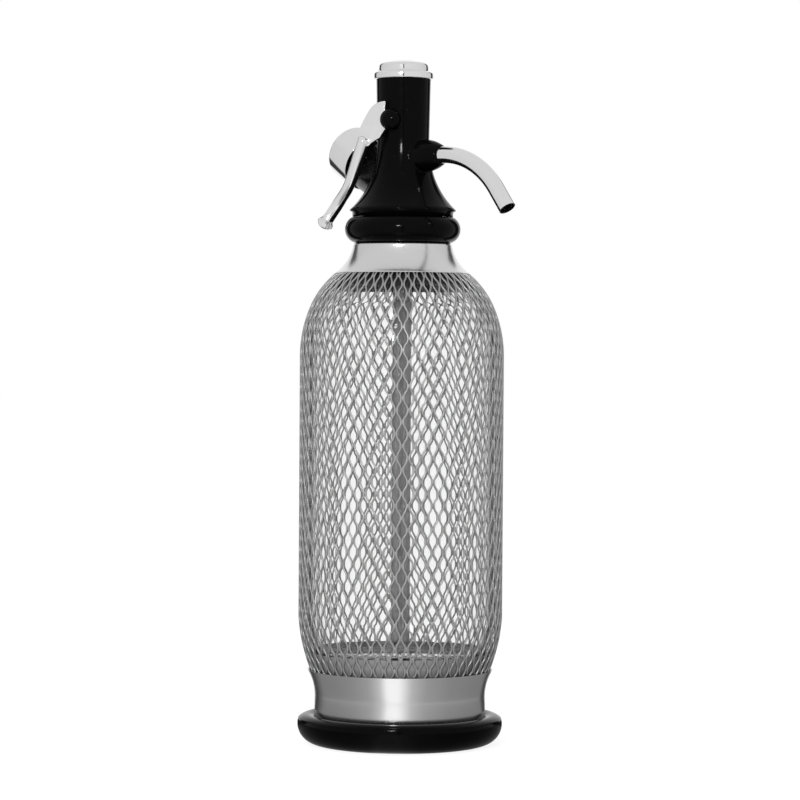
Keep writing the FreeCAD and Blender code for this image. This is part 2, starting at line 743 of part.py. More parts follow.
def head_body():
    """The black moulded head: barrel, skirt, spout boss and charger port in one piece."""
    blank = joined("head_blank", head_shell(), spout_boss(), port_branch())
    bore_end = "(spout_bend_start + spout_end_length)"
    socket = cylinder("spout_socket", "spout_radius", bore_end, x="spout_start", z=SPOUT_AXIS, pitch="90")
    passage = cylinder("spout_passage", "spout_bore", "spout_start", z=SPOUT_AXIS, pitch="90")
    groove = cylinder("spout_groove", "(spout_radius + spout_ring_wall)", "spout_ring_length",
                      x="(spout_start + spout_ring_start)", z=SPOUT_AXIS, pitch="90")
    cavity = cylinder("port_recess", "port_cavity", f"(port_length - {PORT_FLOOR})", **on_port(PORT_FLOOR))
    slot = f"({PORT_FLOOR} - gas_slot_depth)"
    gas_across = cylinder("gas_across", "gas_bore", "(port_length - gas_offset)", **on_port("gas_offset"))
    gas_slot = box("gas_slot", "2 * gas_bore", "2 * (port_cavity - gas_slot_inset)", "2 * gas_slot_depth",
                   **on_port(slot, "-gas_bore", "-(port_cavity - gas_slot_inset)"))
    gas_down = cylinder("gas_down", "gas_bore", "gas_depth",
                        x=f"(gas_offset * cos({PORT_YAW}) * cos(port_tilt))",
                        y=f"(gas_offset * sin({PORT_YAW}) * cos(port_tilt))",
                        z=f"({PORT_AXIS} + gas_offset * sin(port_tilt) - gas_depth)")
    window = box("finger_window", "barrel_top_radius + window_reach", "(finger_width + 2 * window_gap)",
                 "(finger_height + 4 * window_gap)",
                 x=lever_x("window_start", "-(finger_width / 2 + window_gap)"),
                 y=lever_y("window_start", "-(finger_width / 2 + window_gap)"),
                 z=f"({COLLAR_SHELF} - 3 * window_gap)", yaw=LEVER_YAW)
    holes = [screw_hole(side) for side in (1, -1)]
    keep = cylinder("valve_bore_keep", "seat_bore", f"({SEAT_TOP} - {CEILING} + 4)", z=f"({CEILING} - 4)")
    upper = cylinder("chamber_keep", "chamber_radius", f"({CHAMBER_TOP} - {SEAT_TOP})", z=SEAT_TOP)
    skirt = cylinder("skirt_keep", "(ring_thread_radius + thread_gap)", f"({CEILING} - {HEAD_FOOT} + 1)",
                     z=f"({HEAD_FOOT} - 1)")
    node("head_body", cut("head_body", blank, socket, passage, groove, cavity, gas_across, gas_slot, gas_down,
                          window, keep, upper, skirt, *holes))


def on_port(distance, down="0", side="0"):
    """Place and turn of something on the port's axis, so far out and so far below and beside it."""
    level = f"({distance} * cos(port_tilt) + ({down}) * sin(port_tilt))"
    return {
        "x": f"({level} * cos({PORT_YAW}) - ({side}) * sin({PORT_YAW}))",
        "y": f"({level} * sin({PORT_YAW}) + ({side}) * cos({PORT_YAW}))",
        "z": f"({PORT_AXIS} + {distance} * sin(port_tilt) - ({down}) * cos(port_tilt))",
        "yaw": PORT_YAW, "pitch": PORT_PITCH,
    }


def lever_x(out, side):
    """World X of a point given outward and sideways in the lever's plane."""
    return f"(({out}) * cos({LEVER_YAW}) - ({side}) * sin({LEVER_YAW}))"


def lever_y(out, side):
    """World Y of a point given outward and sideways in the lever's plane."""
    return f"(({out}) * sin({LEVER_YAW}) + ({side}) * cos({LEVER_YAW}))"


def screw_hole(side):
    """The hole for one pivot screw's shank, a little deeper than the shank is long."""
    name = "near_screw_hole" if side > 0 else "far_screw_hole"
    return cylinder(name, "pivot_radius", "ear_gap", z=PIVOT, x=lever_x("0", f"{side} * (screw_depth - screw_hole_end)"),
                    y=lever_y("0", f"{side} * (screw_depth - screw_hole_end)"), yaw=LEVER_YAW, roll=str(-90 * side))


def top_cap():
    """The bright screw cap that closes the valve bore."""
    foot = f"({BARREL_TOP} - cap_thread_length)"
    flange = f"({BARREL_TOP} + cap_flange_height)"
    drum = f"({flange} + cap_drum_height)"
    crown = f"({BARREL_TOP} + cap_height)"
    bore = "(cap_thread_radius - cap_wall)"
    corners = [
        (bore, foot), ("cap_thread_radius", foot), ("cap_thread_radius", BARREL_TOP),
        ("(cap_flange_radius - 0.4)", BARREL_TOP), ("cap_flange_radius", f"({BARREL_TOP} + 0.6)", "0.1"),
        ("cap_flange_radius", f"({flange} - 1)"), ("(cap_flange_radius - 1)", flange, "0.25"),
        ("cap_drum_radius", f"({flange} + 0.5)", "-0.2"), ("(cap_drum_radius - 0.3)", f"({drum} - 0.8)"),
        ("cap_crown_radius", f"({drum} + 0.9)", "0.45"), ("0", crown, "dome"), ("0", f"({crown} - cap_wall)"),
        (bore, f"({crown} - cap_wall)"),
    ]
    node("top_cap", turned("top_cap", corners))


def riser():
    """The screwed tube holder under the valve and the long riser tube pushed up into it."""
    foot = f"({CEILING} - holder_nose)"
    top = f"({NUT_FOOT} - valve_room)"
    socket = f"({foot} + riser_socket)"
    hole = "(riser_radius + seat_gap)"
    corners = [
        (hole, foot), ("holder_nose_radius", foot), ("holder_nose_radius", f"({CEILING} - 1)"),
        ("holder_radius", f"({CEILING} - 1)"), ("holder_radius", top), ("holder_bore", top),
        ("holder_bore", socket), (hole, socket),
    ]
    node("tube_holder", turned("tube_holder", corners))
    low = "(cup_seat_height + glass_floor + riser_foot_gap)"
    high = f"({socket} - seat_gap)"
    inner = "(riser_radius - riser_wall)"
    tube = [(inner, low), ("riser_radius", low), ("riser_radius", high), (inner, high)]
    node("riser_tube", turned("riser_tube", tube))


def spout_tube():
    """The bent chrome tube, straight out of the boss, round its bend and straight to its open end."""
    start, bend = value("spout_start"), value("spout_bend_start")
    level, radius = value(SPOUT_AXIS), value("spout_bend_radius")
    angle = math.radians(value("spout_bend_angle"))
    end_length = value("spout_end_length")

    def on_bend(turn):
        return FreeCAD.Vector(bend + radius * math.sin(turn), 0, level - radius * (1 - math.cos(turn)))

    first = FreeCAD.Vector(start, 0, level)
    tip = on_bend(angle) + FreeCAD.Vector(math.cos(angle), 0, -math.sin(angle)) * end_length
    path = Part.Wire([
        Part.LineSegment(first, on_bend(0)).toShape(),
        Part.Arc(on_bend(0), on_bend(angle / 2), on_bend(angle)).toShape(),
        Part.LineSegment(on_bend(angle), tip).toShape(),
    ])
    along = FreeCAD.Vector(1, 0, 0)
    tubes = []
    for wall_radius in (value("spout_radius"), value("spout_radius - spout_wall")):
        ring = Part.Wire([Part.makeCircle(wall_radius, first, along)])
        tubes.append(path.makePipeShell([ring], True, False))
    spout = doc.addObject("Part::Feature", "spout_tube")
    spout.Shape = tubes[0].cut(tubes[1])
    node("spout_tube", spout)
    inner = "(spout_radius + running_gap)"
    outer = "(spout_radius + spout_ring_wall)"
    low = "(spout_start + spout_ring_start)"
    high = f"({low} + spout_ring_length)"
    seal = turned("spout_seal", [(inner, low), (outer, low), (outer, high), (inner, high)])
    node("spout_seal", place(seal, z=SPOUT_AXIS, pitch="90"))


# ---------------------------------------------------------------- valve
def valve():
    """The press-to-open valve: stem, collar, return spring, gland, seat, disc and its nut."""
    disc_foot = f"({DISC_TOP} - disc_thickness)"
    stem_top = f"({COLLAR_SHELF} + stem_rise)"
    collar_foot = f"({COLLAR_SHELF} - collar_thickness)"
    step = "(stem_radius - stem_step)"
    stem = [
        ("0", NUT_FOOT), (step, NUT_FOOT), (step, DISC_TOP), ("stem_radius", DISC_TOP),
        ("stem_radius", collar_foot), (step, collar_foot), (step, stem_top), ("0", stem_top),
    ]
    node("valve_stem", turned("valve_stem", stem))
    collar = [(step, collar_foot), ("collar_radius", collar_foot), ("collar_radius", COLLAR_SHELF),
              (step, COLLAR_SHELF)]
    node("stem_collar", turned("stem_collar", collar))
    disc = [(step, disc_foot), ("disc_radius", disc_foot), ("disc_radius", DISC_TOP), (step, DISC_TOP)]
    node("valve_disc", turned("valve_disc", disc))
    nut = [(step, NUT_FOOT), ("nut_radius", NUT_FOOT), ("nut_radius", disc_foot), (step, disc_foot)]
    node("disc_nut", turned("disc_nut", nut))
    low = f"({SEAT_TOP} - seat_ring_length)"
    seat = [("seat_ring_hole", low), ("seat_bore", low), ("seat_bore", SEAT_TOP), ("seat_ring_hole", SEAT_TOP)]
    node("valve_seat", turned("valve_seat", seat))
    hole = "(stem_radius + running_gap)"
    gland = [(hole, GLAND), ("gland_radius", GLAND), ("gland_radius", LEDGE), (hole, LEDGE)]
    node("gland_bush", turned("gland_bush", gland))
    ring = [(hole, POCKET), ("ring_pocket", POCKET), ("ring_pocket", GLAND), (hole, GLAND)]
    node("stem_seal", turned("stem_seal", ring))
    guide_foot = f"({BARREL_TOP} - cap_thread_length - seat_gap - guide_flange)"
    guide_step = f"({guide_foot} + guide_flange)"
    guide_hole = f"({step} + running_gap)"
    guide_sides = ("(cap_thread_radius - joint_gap)", "(cap_thread_radius - cap_wall - running_gap)")
    guide = [(guide_hole, guide_foot), (guide_sides[0], guide_foot), (guide_sides[0], guide_step),
             (guide_sides[1], guide_step), (guide_sides[1], f"({guide_foot} + guide_rise)"),
             (guide_hole, f"({guide_foot} + guide_rise)")]
    node("stem_guide", turned("stem_guide", guide))
    length = f"({collar_foot} - {LEDGE} - 2 * seat_gap)"
    spring = coil("valve_spring", "spring_radius", "spring_wire", length, "spring_turns",
                  z=f"({LEDGE} + spring_wire / 2 + seat_gap)")
    node("valve_spring", spring)


# ---------------------------------------------------------------- charger port fittings
def charger_fittings():
    """What stands inside the charger port, from its mouth inward, and the cap that closes it."""
    mouth = "port_length"
    floor = "(port_length - nipple_length)"
    seat = f"({floor} + nipple_floor)"
    nipple = [
        ("needle_radius", floor), ("port_cavity", floor), ("port_cavity", mouth), ("nipple_bore", mouth),
        ("nipple_bore", seat), ("needle_radius", seat),
    ]
    node("charger_nipple", at_port(turned("charger_nipple", nipple)))
    tip = f"({seat} + needle_length)"
    needle = [
        ("0", NEEDLE_FOOT), ("needle_head", NEEDLE_FOOT), ("needle_head", floor), ("needle_radius", floor),
        ("needle_radius", f"({tip} - 2)"), ("0", tip),
    ]
    node("piercing_needle", at_port(turned("piercing_needle", needle)))
    washer = [("(needle_radius + 0.6)", seat), ("nipple_bore", seat), ("nipple_bore", f"({seat} + washer_length)"),
              ("(needle_radius + 0.6)", f"({seat} + washer_length)")]
    node("charger_washer", at_port(turned("charger_washer", washer)))
    disc_top = f"({NEEDLE_FOOT} - seat_gap)"
    disc_foot = f"({disc_top} - check_disc_length)"
    disc = [("0", disc_foot), ("check_disc_radius", disc_foot), ("check_disc_radius", disc_top), ("0", disc_top)]
    node("check_disc", at_port(turned("check_disc", disc)))
    seal_top = f"({mouth} + cap_seal_length)"
    seal = [("nipple_bore", f"({mouth} + seat_gap)"), ("(port_thread_radius - 0.4)", f"({mouth} + seat_gap)"),
            ("(port_thread_radius - 0.4)", seal_top), ("nipple_bore", seal_top)]
    node("cap_seal", at_port(turned("cap_seal", seal)))
    foot = "(port_length - port_thread_length + cap_grip_gap)"
    end = f"({foot} + charger_cap_length)"
    bore = "(port_thread_radius + thread_gap)"
    recess = f"({seal_top} + seat_gap)"
    inner = "(charger_cap_radius - charger_cap_wall)"
    cap = [
        (bore, foot), ("(charger_cap_radius - 0.5)", foot), ("charger_cap_radius", f"({foot} + 0.5)", "0.12"),
        ("charger_cap_radius", f"({end} - charger_cap_crown - charger_cap_round)"),
        ("(charger_cap_radius - charger_cap_round)", f"({end} - charger_cap_crown)", "0.4"),
        ("0", end, "dome"), ("0", f"({end} - charger_cap_wall)"),
        (f"({inner} - 4)", f"({end} - charger_cap_wall - charger_cap_crown)"), (f"({inner} - 4)", recess),
        (bore, recess),
    ]
    node("charger_cap", at_port(turned("charger_cap", cap)))


# ---------------------------------------------------------------- lever
def ear_plate(name, side):
    """One ear beside the head: upright front edge and sloping back, the near one long in the tail."""
    top = f"({PIVOT} + ear_top)"
    foot = f"({PIVOT} - ear_bottom)"
    near_tail = [
        ("(ear_front + near_tail_out)", f"({foot} - near_tail_drop)", "-0.2"),
        ("(ear_front + near_tip_out)", f"({foot} - near_tip_drop)", "1.4"),
        ("(ear_front + near_back_out)", f"({foot} + ear_back_rise)", "0.2"),
    ]
    far_tail = [
        ("(ear_front + far_tail_out)", f"({foot} - far_tail_drop)", "0.5"),
        ("(ear_front + far_back_out)", f"({foot} + ear_back_rise)", "0.9"),
    ]
    corners = [
        ("ear_front", f"({foot} + ear_nose_rise)"), ("(ear_front + ear_heel_out)", f"({foot} - ear_heel_drop)"),
        *(near_tail if side > 0 else far_tail),
        ("(ear_front + ear_crest_out)", f"({top} - ear_crest_drop)", "0.2"),
        ("(ear_front + ear_brow_out)", f"({top} - ear_brow_drop)", "0.2"), ("ear_front", top, "0.3"),
    ]
    plate = padded(name, corners, "ear_thickness")
    middle = f"({side} * (ear_gap + ear_thickness / 2))"
    return place(plate, x=lever_x("0", middle), y=lever_y("0", middle), yaw=LEVER_YAW)


def lobe(name, side):
    """The round end of an ear, bored for its pivot screw."""
    inner = f"({side} * ear_gap)"
    return cylinder(name, "lobe_radius", "ear_thickness", x=lever_x("0", inner), y=lever_y("0", inner), z=PIVOT,
                    yaw=LEVER_YAW, roll=str(-90 * side))


def yoke():
    """The half ring behind the barrel that joins the two ears."""
    low = f"({PIVOT} - yoke_bottom)"
    high = f"({PIVOT} + yoke_top)"
    outer = "(yoke_radius + yoke_wall)"
    ring = turned("yoke_ring", [("yoke_radius", low), (outer, low), (outer, f"({high} - 1.6)"),
                                (f"({outer} - 1.4)", high, "0.2"), ("yoke_radius", high)])
    front = box("yoke_front", f"2 * {outer}", f"4 * {outer}", f"({high} - {low} + 2)",
                x=lever_x(f"ear_front - 2 * {outer}", f"-2 * {outer}"),
                y=lever_y(f"ear_front - 2 * {outer}", f"-2 * {outer}"), z=f"({low} - 1)", yaw=LEVER_YAW)
    return cut("yoke_half", ring, front)


def bent_path(first, knee, last, bend):
    """A path of two straight runs joined at the knee by an arc of the given radius."""
    before = (first - knee).normalize()
    after = (last - knee).normalize()
    half = before.getAngle(after) / 2
    middle = (before + after).normalize()
    start, end = (knee + run * (bend / math.tan(half)) for run in (before, after))
    crown = knee + middle * (bend / math.sin(half) - bend)
    return Part.Wire([
        Part.LineSegment(first, start).toShape(),
        Part.Arc(start, crown, end).toShape(),
        Part.LineSegment(end, last).toShape(),
    ])


def arm():
    """The arm and handle: a round bar from the near ear's tail, bent in towards the lever's own plane."""
    level, side = value(PIVOT), value("ear_gap + ear_thickness / 2")
    root = FreeCAD.Vector(value("arm_root_out"), side, level - value("arm_root_drop"))
    knee = FreeCAD.Vector(value("knee_out"), value("knee_side"), level - value("knee_drop"))
    last = FreeCAD.Vector(value("handle_end_out"), value("handle_end_side"), level - value("handle_end_drop"))
    ring = Part.Wire([Part.makeCircle(value("handle_radius"), root, knee - root)])
    bar = doc.addObject("Part::Feature", "handle_bar")
    bar.Shape = bent_path(root, knee, last, value("knee_bend")).makePipeShell([ring], True, False)
    heel = doc.addObject("Part::Sphere", "arm_root")
    heel.setExpression("Radius", bound("handle_radius"))
    side = "(ear_gap + ear_thickness / 2)"
    place(heel, x=lever_x("arm_root_out", side), y=lever_y("arm_root_out", side), z=f"({PIVOT} - arm_root_drop)")
    shoulder = "(tip_length - 1.8)"
    corners = [
        ("0", "-1"), ("(handle_radius + 0.05)", "-1"), ("tip_radius", shoulder, "-0.3"),
        ("(tip_radius - 1.2)", "(tip_length - 0.4)", "0.35"), ("0", "tip_length", "dome"),
    ]
    out, across, down = "handle_end_out - knee_out", "handle_end_side - knee_side", "handle_end_drop - knee_drop"
    tip = place(turned("handle_tip", corners), x=lever_x("handle_end_out", "handle_end_side"),
                y=lever_y("handle_end_out", "handle_end_side"), z=f"({PIVOT} - handle_end_drop)",
                yaw=f"({LEVER_YAW} + atan2({across}; {out}) / 1deg)",
                pitch=f"(90 + atan2({down}; sqrt(({out})^2 + ({across})^2)) / 1deg)")
    return at_lever(bar), heel, tip


def lever():
    """The one-piece chrome lever: two ears, the yoke behind the head, the finger, the arm and the handle."""
    finger = box("lever_finger", "(yoke_radius + 1 - finger_reach)", "finger_width", "finger_height",
                 x=lever_x("finger_reach", "-finger_width / 2"), y=lever_y("finger_reach", "-finger_width / 2"),
                 z=f"({COLLAR_SHELF} + running_gap)", yaw=LEVER_YAW)
    blank = joined("lever_blank", ear_plate("near_ear", 1), ear_plate("far_ear", -1), lobe("near_lobe", 1),
                   lobe("far_lobe", -1), yoke(), finger, *arm())
    reach = "(2 * ear_gap + 4 * ear_thickness)"
    pin = cylinder("pivot_hole", "(pivot_radius + running_gap)", reach, x=lever_x("0", f"-{reach} / 2"),
                   y=lever_y("0", f"-{reach} / 2"), z=PIVOT, yaw=LEVER_YAW, roll="-90")
    node("lever", cut("lever", blank, pin))


def pivot_screws():
    """The two black domed shoulder screws that the lever's ears turn on."""
    flat = "(ear_gap + ear_thickness + seat_gap)"
    crown = f"({flat} + screw_head_height + screw_dome)"
    for side, name in ((1, "near_pivot_screw"), (-1, "far_pivot_screw")):
        corners = [
            ("0", "screw_depth"), ("pivot_radius", "screw_depth"), ("pivot_radius", flat),
            ("screw_head_radius", flat), ("screw_head_radius", f"({flat} + screw_head_height)"),
            ("0", crown, "dome"),
        ]
        screw = turned(name, corners)
        node(name, place(screw, z=PIVOT, yaw=LEVER_YAW, roll=str(-90 * side)))


def build():
    """Make every sub-part in order, check them and write one STEP file to a sub-part."""
    for make in (
        base_ring, bottle_cup, base_band, glass_bottle, shoulder_ring, wire_jacket, neck_collar, neck_ring,
        head_gasket, head_body, top_cap, riser, spout_tube, valve, charger_fittings, lever, pivot_screws,
    ):
        make()
    doc.recompute()
    for thing in doc.Objects:
        if "Invalid" in thing.State or "Error" in thing.State:
            raise RuntimeError(f"{thing.Name} did not compute: {thing.State}")
    os.makedirs("parts", exist_ok=True)
    for thing in NODES:
        shape = thing.Shape
        if shape.isNull() or not shape.isValid():
            raise RuntimeError(f"{thing.Label} has no valid shape")
        shape.exportStep(f"parts/{thing.Label}.step")
        solids = len(shape.Solids)
        print(f"{thing.Label}: {solids} solid{'s' if solids > 1 else ''}, {shape.Volume:.1f} cubic mm")


build()
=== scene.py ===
"""Dresses the wire-jacketed soda siphon: smooth turned shells, the bonded wire jacket, finishes and studio.

Metres, in the same frame as the solids: +Z up, the spout along +X, the origin under the base ring.
"""
import logging
import math
from dataclasses import dataclass, field
from enum import Enum

import bmesh
import bpy
from mathutils import Matrix, Vector


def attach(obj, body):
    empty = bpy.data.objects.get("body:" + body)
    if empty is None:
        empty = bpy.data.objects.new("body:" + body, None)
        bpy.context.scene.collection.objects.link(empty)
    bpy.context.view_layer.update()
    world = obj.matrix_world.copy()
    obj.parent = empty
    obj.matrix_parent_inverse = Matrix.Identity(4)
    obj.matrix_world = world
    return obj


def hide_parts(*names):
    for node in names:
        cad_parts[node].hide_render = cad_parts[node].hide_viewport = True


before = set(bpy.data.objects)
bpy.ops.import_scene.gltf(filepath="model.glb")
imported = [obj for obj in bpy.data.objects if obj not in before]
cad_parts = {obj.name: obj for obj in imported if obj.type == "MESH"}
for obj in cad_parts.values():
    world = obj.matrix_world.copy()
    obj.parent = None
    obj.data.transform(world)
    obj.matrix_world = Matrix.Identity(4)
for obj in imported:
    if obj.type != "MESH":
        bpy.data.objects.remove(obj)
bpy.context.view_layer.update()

MM = 0.001
SAME_POINT = 1e-6
MERGE_DISTANCE = 0.002 * MM
HARD_EDGE = math.radians(34)
BEVELLED_EDGE = math.radians(32)
WHITE = (1.0, 1.0, 1.0, 1.0)
LOG = logging.getLogger("soda_siphon")

Point = tuple[float, float]
Piece = bpy.types.Object
Socket = bpy.types.NodeSocket
Sockets = bpy.types.bpy_prop_collection


class Finish(Enum):
    """The finishes that the siphon's pieces are made in."""

    BLACK_MOULDING = "black_moulding"
    CHROME = "polished_metal"
    CAST = "cast_metal"
    BAND = "bright_band"
    WIRE = "bright_wire"
    GLASS = "clear_glass"
    TUBE = "grey_tube"
    CUP = "grey_cup"
    BRASS = "brass_part"
    STEEL = "steel_part"
    RUBBER = "rubber_part"
    NYLON = "white_bush"


# ---- node trees
class Tree:
    """A small helper that adds, sets and links nodes of one tree by plain names."""

    def __init__(self, nodes: bpy.types.NodeTree) -> None:
        """Start on an existing tree.

        Args:
            nodes: The node tree to build in.
        """
        self.nodes = nodes

    def add(self, kind: str, **settings: object) -> bpy.types.Node:
        """Add a node and set its properties.

        Args:
            kind: The node's type name.
            **settings: Properties of the node itself.

        Returns:
            The new node.
        """
        node = self.nodes.nodes.new(kind)
        for name, setting in settings.items():
            setattr(node, name, setting)
        return node

    def link(self, source: object, target: Socket) -> None:
        """Link an output to an input, or give the input a plain value.

        Args:
            source: The output, or the value.
            target: The input.
        """
        if isinstance(source, Socket):
            self.nodes.links.new(source, target)
        else:
            target.default_value = source

    def feed(self, node: bpy.types.Node | str, **inputs: object) -> bpy.types.Node:
        """Set or link inputs of a node by name, with _ for a space.

        Args:
            node: The node whose inputs are fed, or the type name of a new one.
            **inputs: A value, or the output socket to link from.

        Returns:
            The node.
        """
        node = self.add(node) if isinstance(node, str) else node
        for name, source in inputs.items():
            self.link(source, node.inputs[name.replace("_", " ")])
        return node

    def math(self, operation: str, *terms: object) -> Socket:
        """Add a Math node.

        Args:
            operation: The Math node's operation.
            *terms: Numbers or sockets, in order.

        Returns:
            The result's socket.
        """
        node = self.add("ShaderNodeMath", operation=operation)
        for index, term in enumerate(terms):
            self.link(term, node.inputs[index])
        return node.outputs[0]

    def mix(self, share: Socket, first: object, second: object) -> Socket:
        """Mix two colours.

        Args:
            share: The second colour's share.
            first: A colour or a socket.
            second: A colour or a socket.

        Returns:
            The result's socket.
        """
        node = self.add("ShaderNodeMix", data_type="RGBA")
        for index, source in ((0, share), (6, first), (7, second)):
            self.link(source, node.inputs[index])
        return node.outputs[2]


# ---- finishes
GRAIN_DETAIL = 3.0
GRAIN_ROUGHNESS = 0.6
GRAIN_HEIGHT = 0.1 * MM
GRAIN_LOW, GRAIN_HIGH = 0.25, 0.75
SPECKS_TO_THE_METRE = 420.0
DUST_GREY = (0.05, 0.05, 0.05, 1.0)


def grain_group() -> bpy.types.NodeTree:
    """The shared surface grain: fine noise in object space as a value and a bumped normal.

    Returns:
        The node group, with inputs Scale, Stretch, Depth and Detail and outputs Value and Normal.
    """
    existing = bpy.data.node_groups.get("surface_grain")
    if existing:
        return existing
    group = bpy.data.node_groups.new("surface_grain", "ShaderNodeTree")
    face = group.interface
    for name, kind, start in (
        ("Scale", "NodeSocketFloat", 400.0),
        ("Stretch", "NodeSocketVector", (1.0, 1.0, 1.0)),
        ("Depth", "NodeSocketFloat", 0.1),
        ("Detail", "NodeSocketFloat", GRAIN_DETAIL),
    ):
        face.new_socket(name=name, in_out="INPUT", socket_type=kind).default_value = start
    face.new_socket(name="Value", in_out="OUTPUT", socket_type="NodeSocketFloat")
    face.new_socket(name="Normal", in_out="OUTPUT", socket_type="NodeSocketVector")
    tree = Tree(group)
    given = tree.add("NodeGroupInput")
    place = tree.add("ShaderNodeTexCoord")
    stretch = tree.add("ShaderNodeVectorMath", operation="MULTIPLY")
    tree.link(place.outputs["Object"], stretch.inputs[0])
    tree.link(given.outputs["Stretch"], stretch.inputs[1])
    noise = tree.feed(
        "ShaderNodeTexNoise",
        Vector=stretch.outputs[0], Scale=given.outputs["Scale"], Detail=given.outputs["Detail"],
        Roughness=GRAIN_ROUGHNESS,
    )
    bump = tree.feed(
        "ShaderNodeBump",
        Height=noise.outputs["Fac"], Strength=given.outputs["Depth"], Distance=GRAIN_HEIGHT,
    )
    tree.feed("NodeGroupOutput", Value=noise.outputs["Fac"], Normal=bump.outputs["Normal"])
    return group


@dataclass(frozen=True)
class SurfaceFinish:
    """One finish: a Principled surface with its own grain.

    Attributes:
        finish: Which finish this is; its value is the record's material slot.
        colour: The base colour, linear.
        roughness: The mean roughness.
        spread: How far the grain moves the roughness up and down.
        metallic: 1 for metal.
        grain_scale: Grains to the metre.
        grain_stretch: How the grain is stretched along X, Y and Z.
        grain_depth: The strength of the grain's bump.
        shade: How far the grain darkens and lightens the colour.
        ior: The index of refraction.
        transmission: 1 for clear glass.
        specks: The share of the surface taken by fine dust specks.
        gloss: The specular level.
        slot: The record's material slot, where it isn't the finish's own value; not used.
    """

    finish: Finish
    colour: tuple[float, float, float]
    roughness: float
    spread: float = 0.05
    metallic: float = 0.0
    grain_scale: float = 900.0
    grain_stretch: tuple[float, float, float] = (1.0, 1.0, 1.0)
    grain_depth: float = 0.1
    shade: float = 0.06
    ior: float = 1.5
    transmission: float = 0.0
    specks: float = 0.0
    gloss: float = 0.5
    slot: str = ""

    def material(self) -> bpy.types.Material:
        """Build the material, or hand back the one already built.

        Returns:
            The material.
        """
        name = f"{self.finish.value}_surface"
        made = bpy.data.materials.get(name)
        if made:
            return made
        made = bpy.data.materials.new(name)
        made.use_nodes = True
        tree = Tree(made.node_tree)
        made.node_tree.nodes.clear()
        surface = tree.add("ShaderNodeBsdfPrincipled")
        tree.feed(
            surface,
            Metallic=self.metallic, IOR=self.ior, Transmission_Weight=self.transmission,
            Specular_IOR_Level=self.gloss,
        )
        grain = tree.add("ShaderNodeGroup", node_tree=grain_group())
        tree.feed(
            grain, Scale=self.grain_scale, Stretch=self.grain_stretch, Depth=self.grain_depth,
            Detail=GRAIN_DETAIL,
        )
        rough = tree.add("ShaderNodeMapRange")
        tree.feed(
            rough,
            Value=grain.outputs["Value"], From_Min=GRAIN_LOW, From_Max=GRAIN_HIGH,
            To_Min=max(self.roughness - self.spread, 0.0), To_Max=self.roughness + self.spread,
        )
        tree.feed(
            surface,
            Roughness=rough.outputs["Result"], Normal=grain.outputs["Normal"],
            Base_Color=self.tinted(tree, grain),
        )
        tree.feed("ShaderNodeOutputMaterial", Surface=surface.outputs["BSDF"])
        return made

    def tinted(self, tree: Tree, grain: bpy.types.Node) -> Socket:
        """The base colour, shaded a little by the grain and flecked with dust where the finish has it.

        Args:
            tree: The material's tree.
            grain: The grain group's node.

        Returns:
            The colour's socket.
        """
        dark = (*(part * (1.0 - self.shade) for part in self.colour), 1.0)
        light = (*(min(part * (1.0 + self.shade), 1.0) for part in self.colour), 1.0)
        shaded = tree.mix(grain.outputs["Value"], dark, light)
        if not self.specks:
            return shaded
        place = tree.add("ShaderNodeTexCoord")
        cells = tree.feed(
            "ShaderNodeTexVoronoi",
            Vector=place.outputs["Object"], Scale=SPECKS_TO_THE_METRE, Randomness=1.0,
        )
        speck = tree.math("LESS_THAN", cells.outputs["Distance"], self.specks)
        return tree.mix(speck, shaded, DUST_GREY)


FINISHES = {
    one.finish: one
    for one in (
        SurfaceFinish(Finish.BLACK_MOULDING, (0.0012, 0.0012, 0.0012), 0.11, spread=0.04, grain_scale=260.0,
                      grain_depth=0.05, specks=0.035, shade=0.3, gloss=0.045),
        SurfaceFinish(Finish.CHROME, (0.80, 0.80, 0.80), 0.09, spread=0.03, metallic=1.0, grain_scale=500.0,
                      grain_depth=0.03, shade=0.03),
        SurfaceFinish(Finish.CAST, (0.82, 0.82, 0.82), 0.13, spread=0.03, metallic=1.0, grain_scale=900.0,
                      grain_depth=0.06, shade=0.04, slot=Finish.CHROME.value),
        SurfaceFinish(Finish.BAND, (0.70, 0.70, 0.70), 0.2, spread=0.04, metallic=1.0, grain_scale=700.0,
                      grain_stretch=(1.0, 1.0, 6.0), grain_depth=0.05, shade=0.04),
        SurfaceFinish(Finish.WIRE, (0.42, 0.42, 0.42), 0.42, spread=0.06, metallic=1.0, grain_scale=1500.0,
                      grain_depth=0.12, shade=0.12),
        SurfaceFinish(Finish.GLASS, (0.985, 0.985, 0.985), 0.0, spread=0.004, ior=1.5, transmission=1.0,
                      grain_scale=60.0, grain_depth=0.01, shade=0.01),
        SurfaceFinish(Finish.TUBE, (0.26, 0.26, 0.26), 0.42, grain_scale=600.0, grain_depth=0.1, shade=0.12),
        SurfaceFinish(Finish.CUP, (0.2, 0.2, 0.2), 0.48, grain_scale=900.0, grain_depth=0.15, shade=0.1),
        SurfaceFinish(Finish.BRASS, (0.62, 0.44, 0.2), 0.28, metallic=1.0, grain_stretch=(1.0, 1.0, 5.0)),
        SurfaceFinish(Finish.STEEL, (0.55, 0.55, 0.56), 0.25, metallic=1.0, grain_stretch=(1.0, 1.0, 4.0)),
        SurfaceFinish(Finish.RUBBER, (0.014, 0.014, 0.014), 0.62, grain_scale=1200.0, grain_depth=0.25,
                      shade=0.2),
        SurfaceFinish(Finish.NYLON, (0.68, 0.66, 0.6), 0.45, grain_scale=800.0, grain_depth=0.1),
    )
}


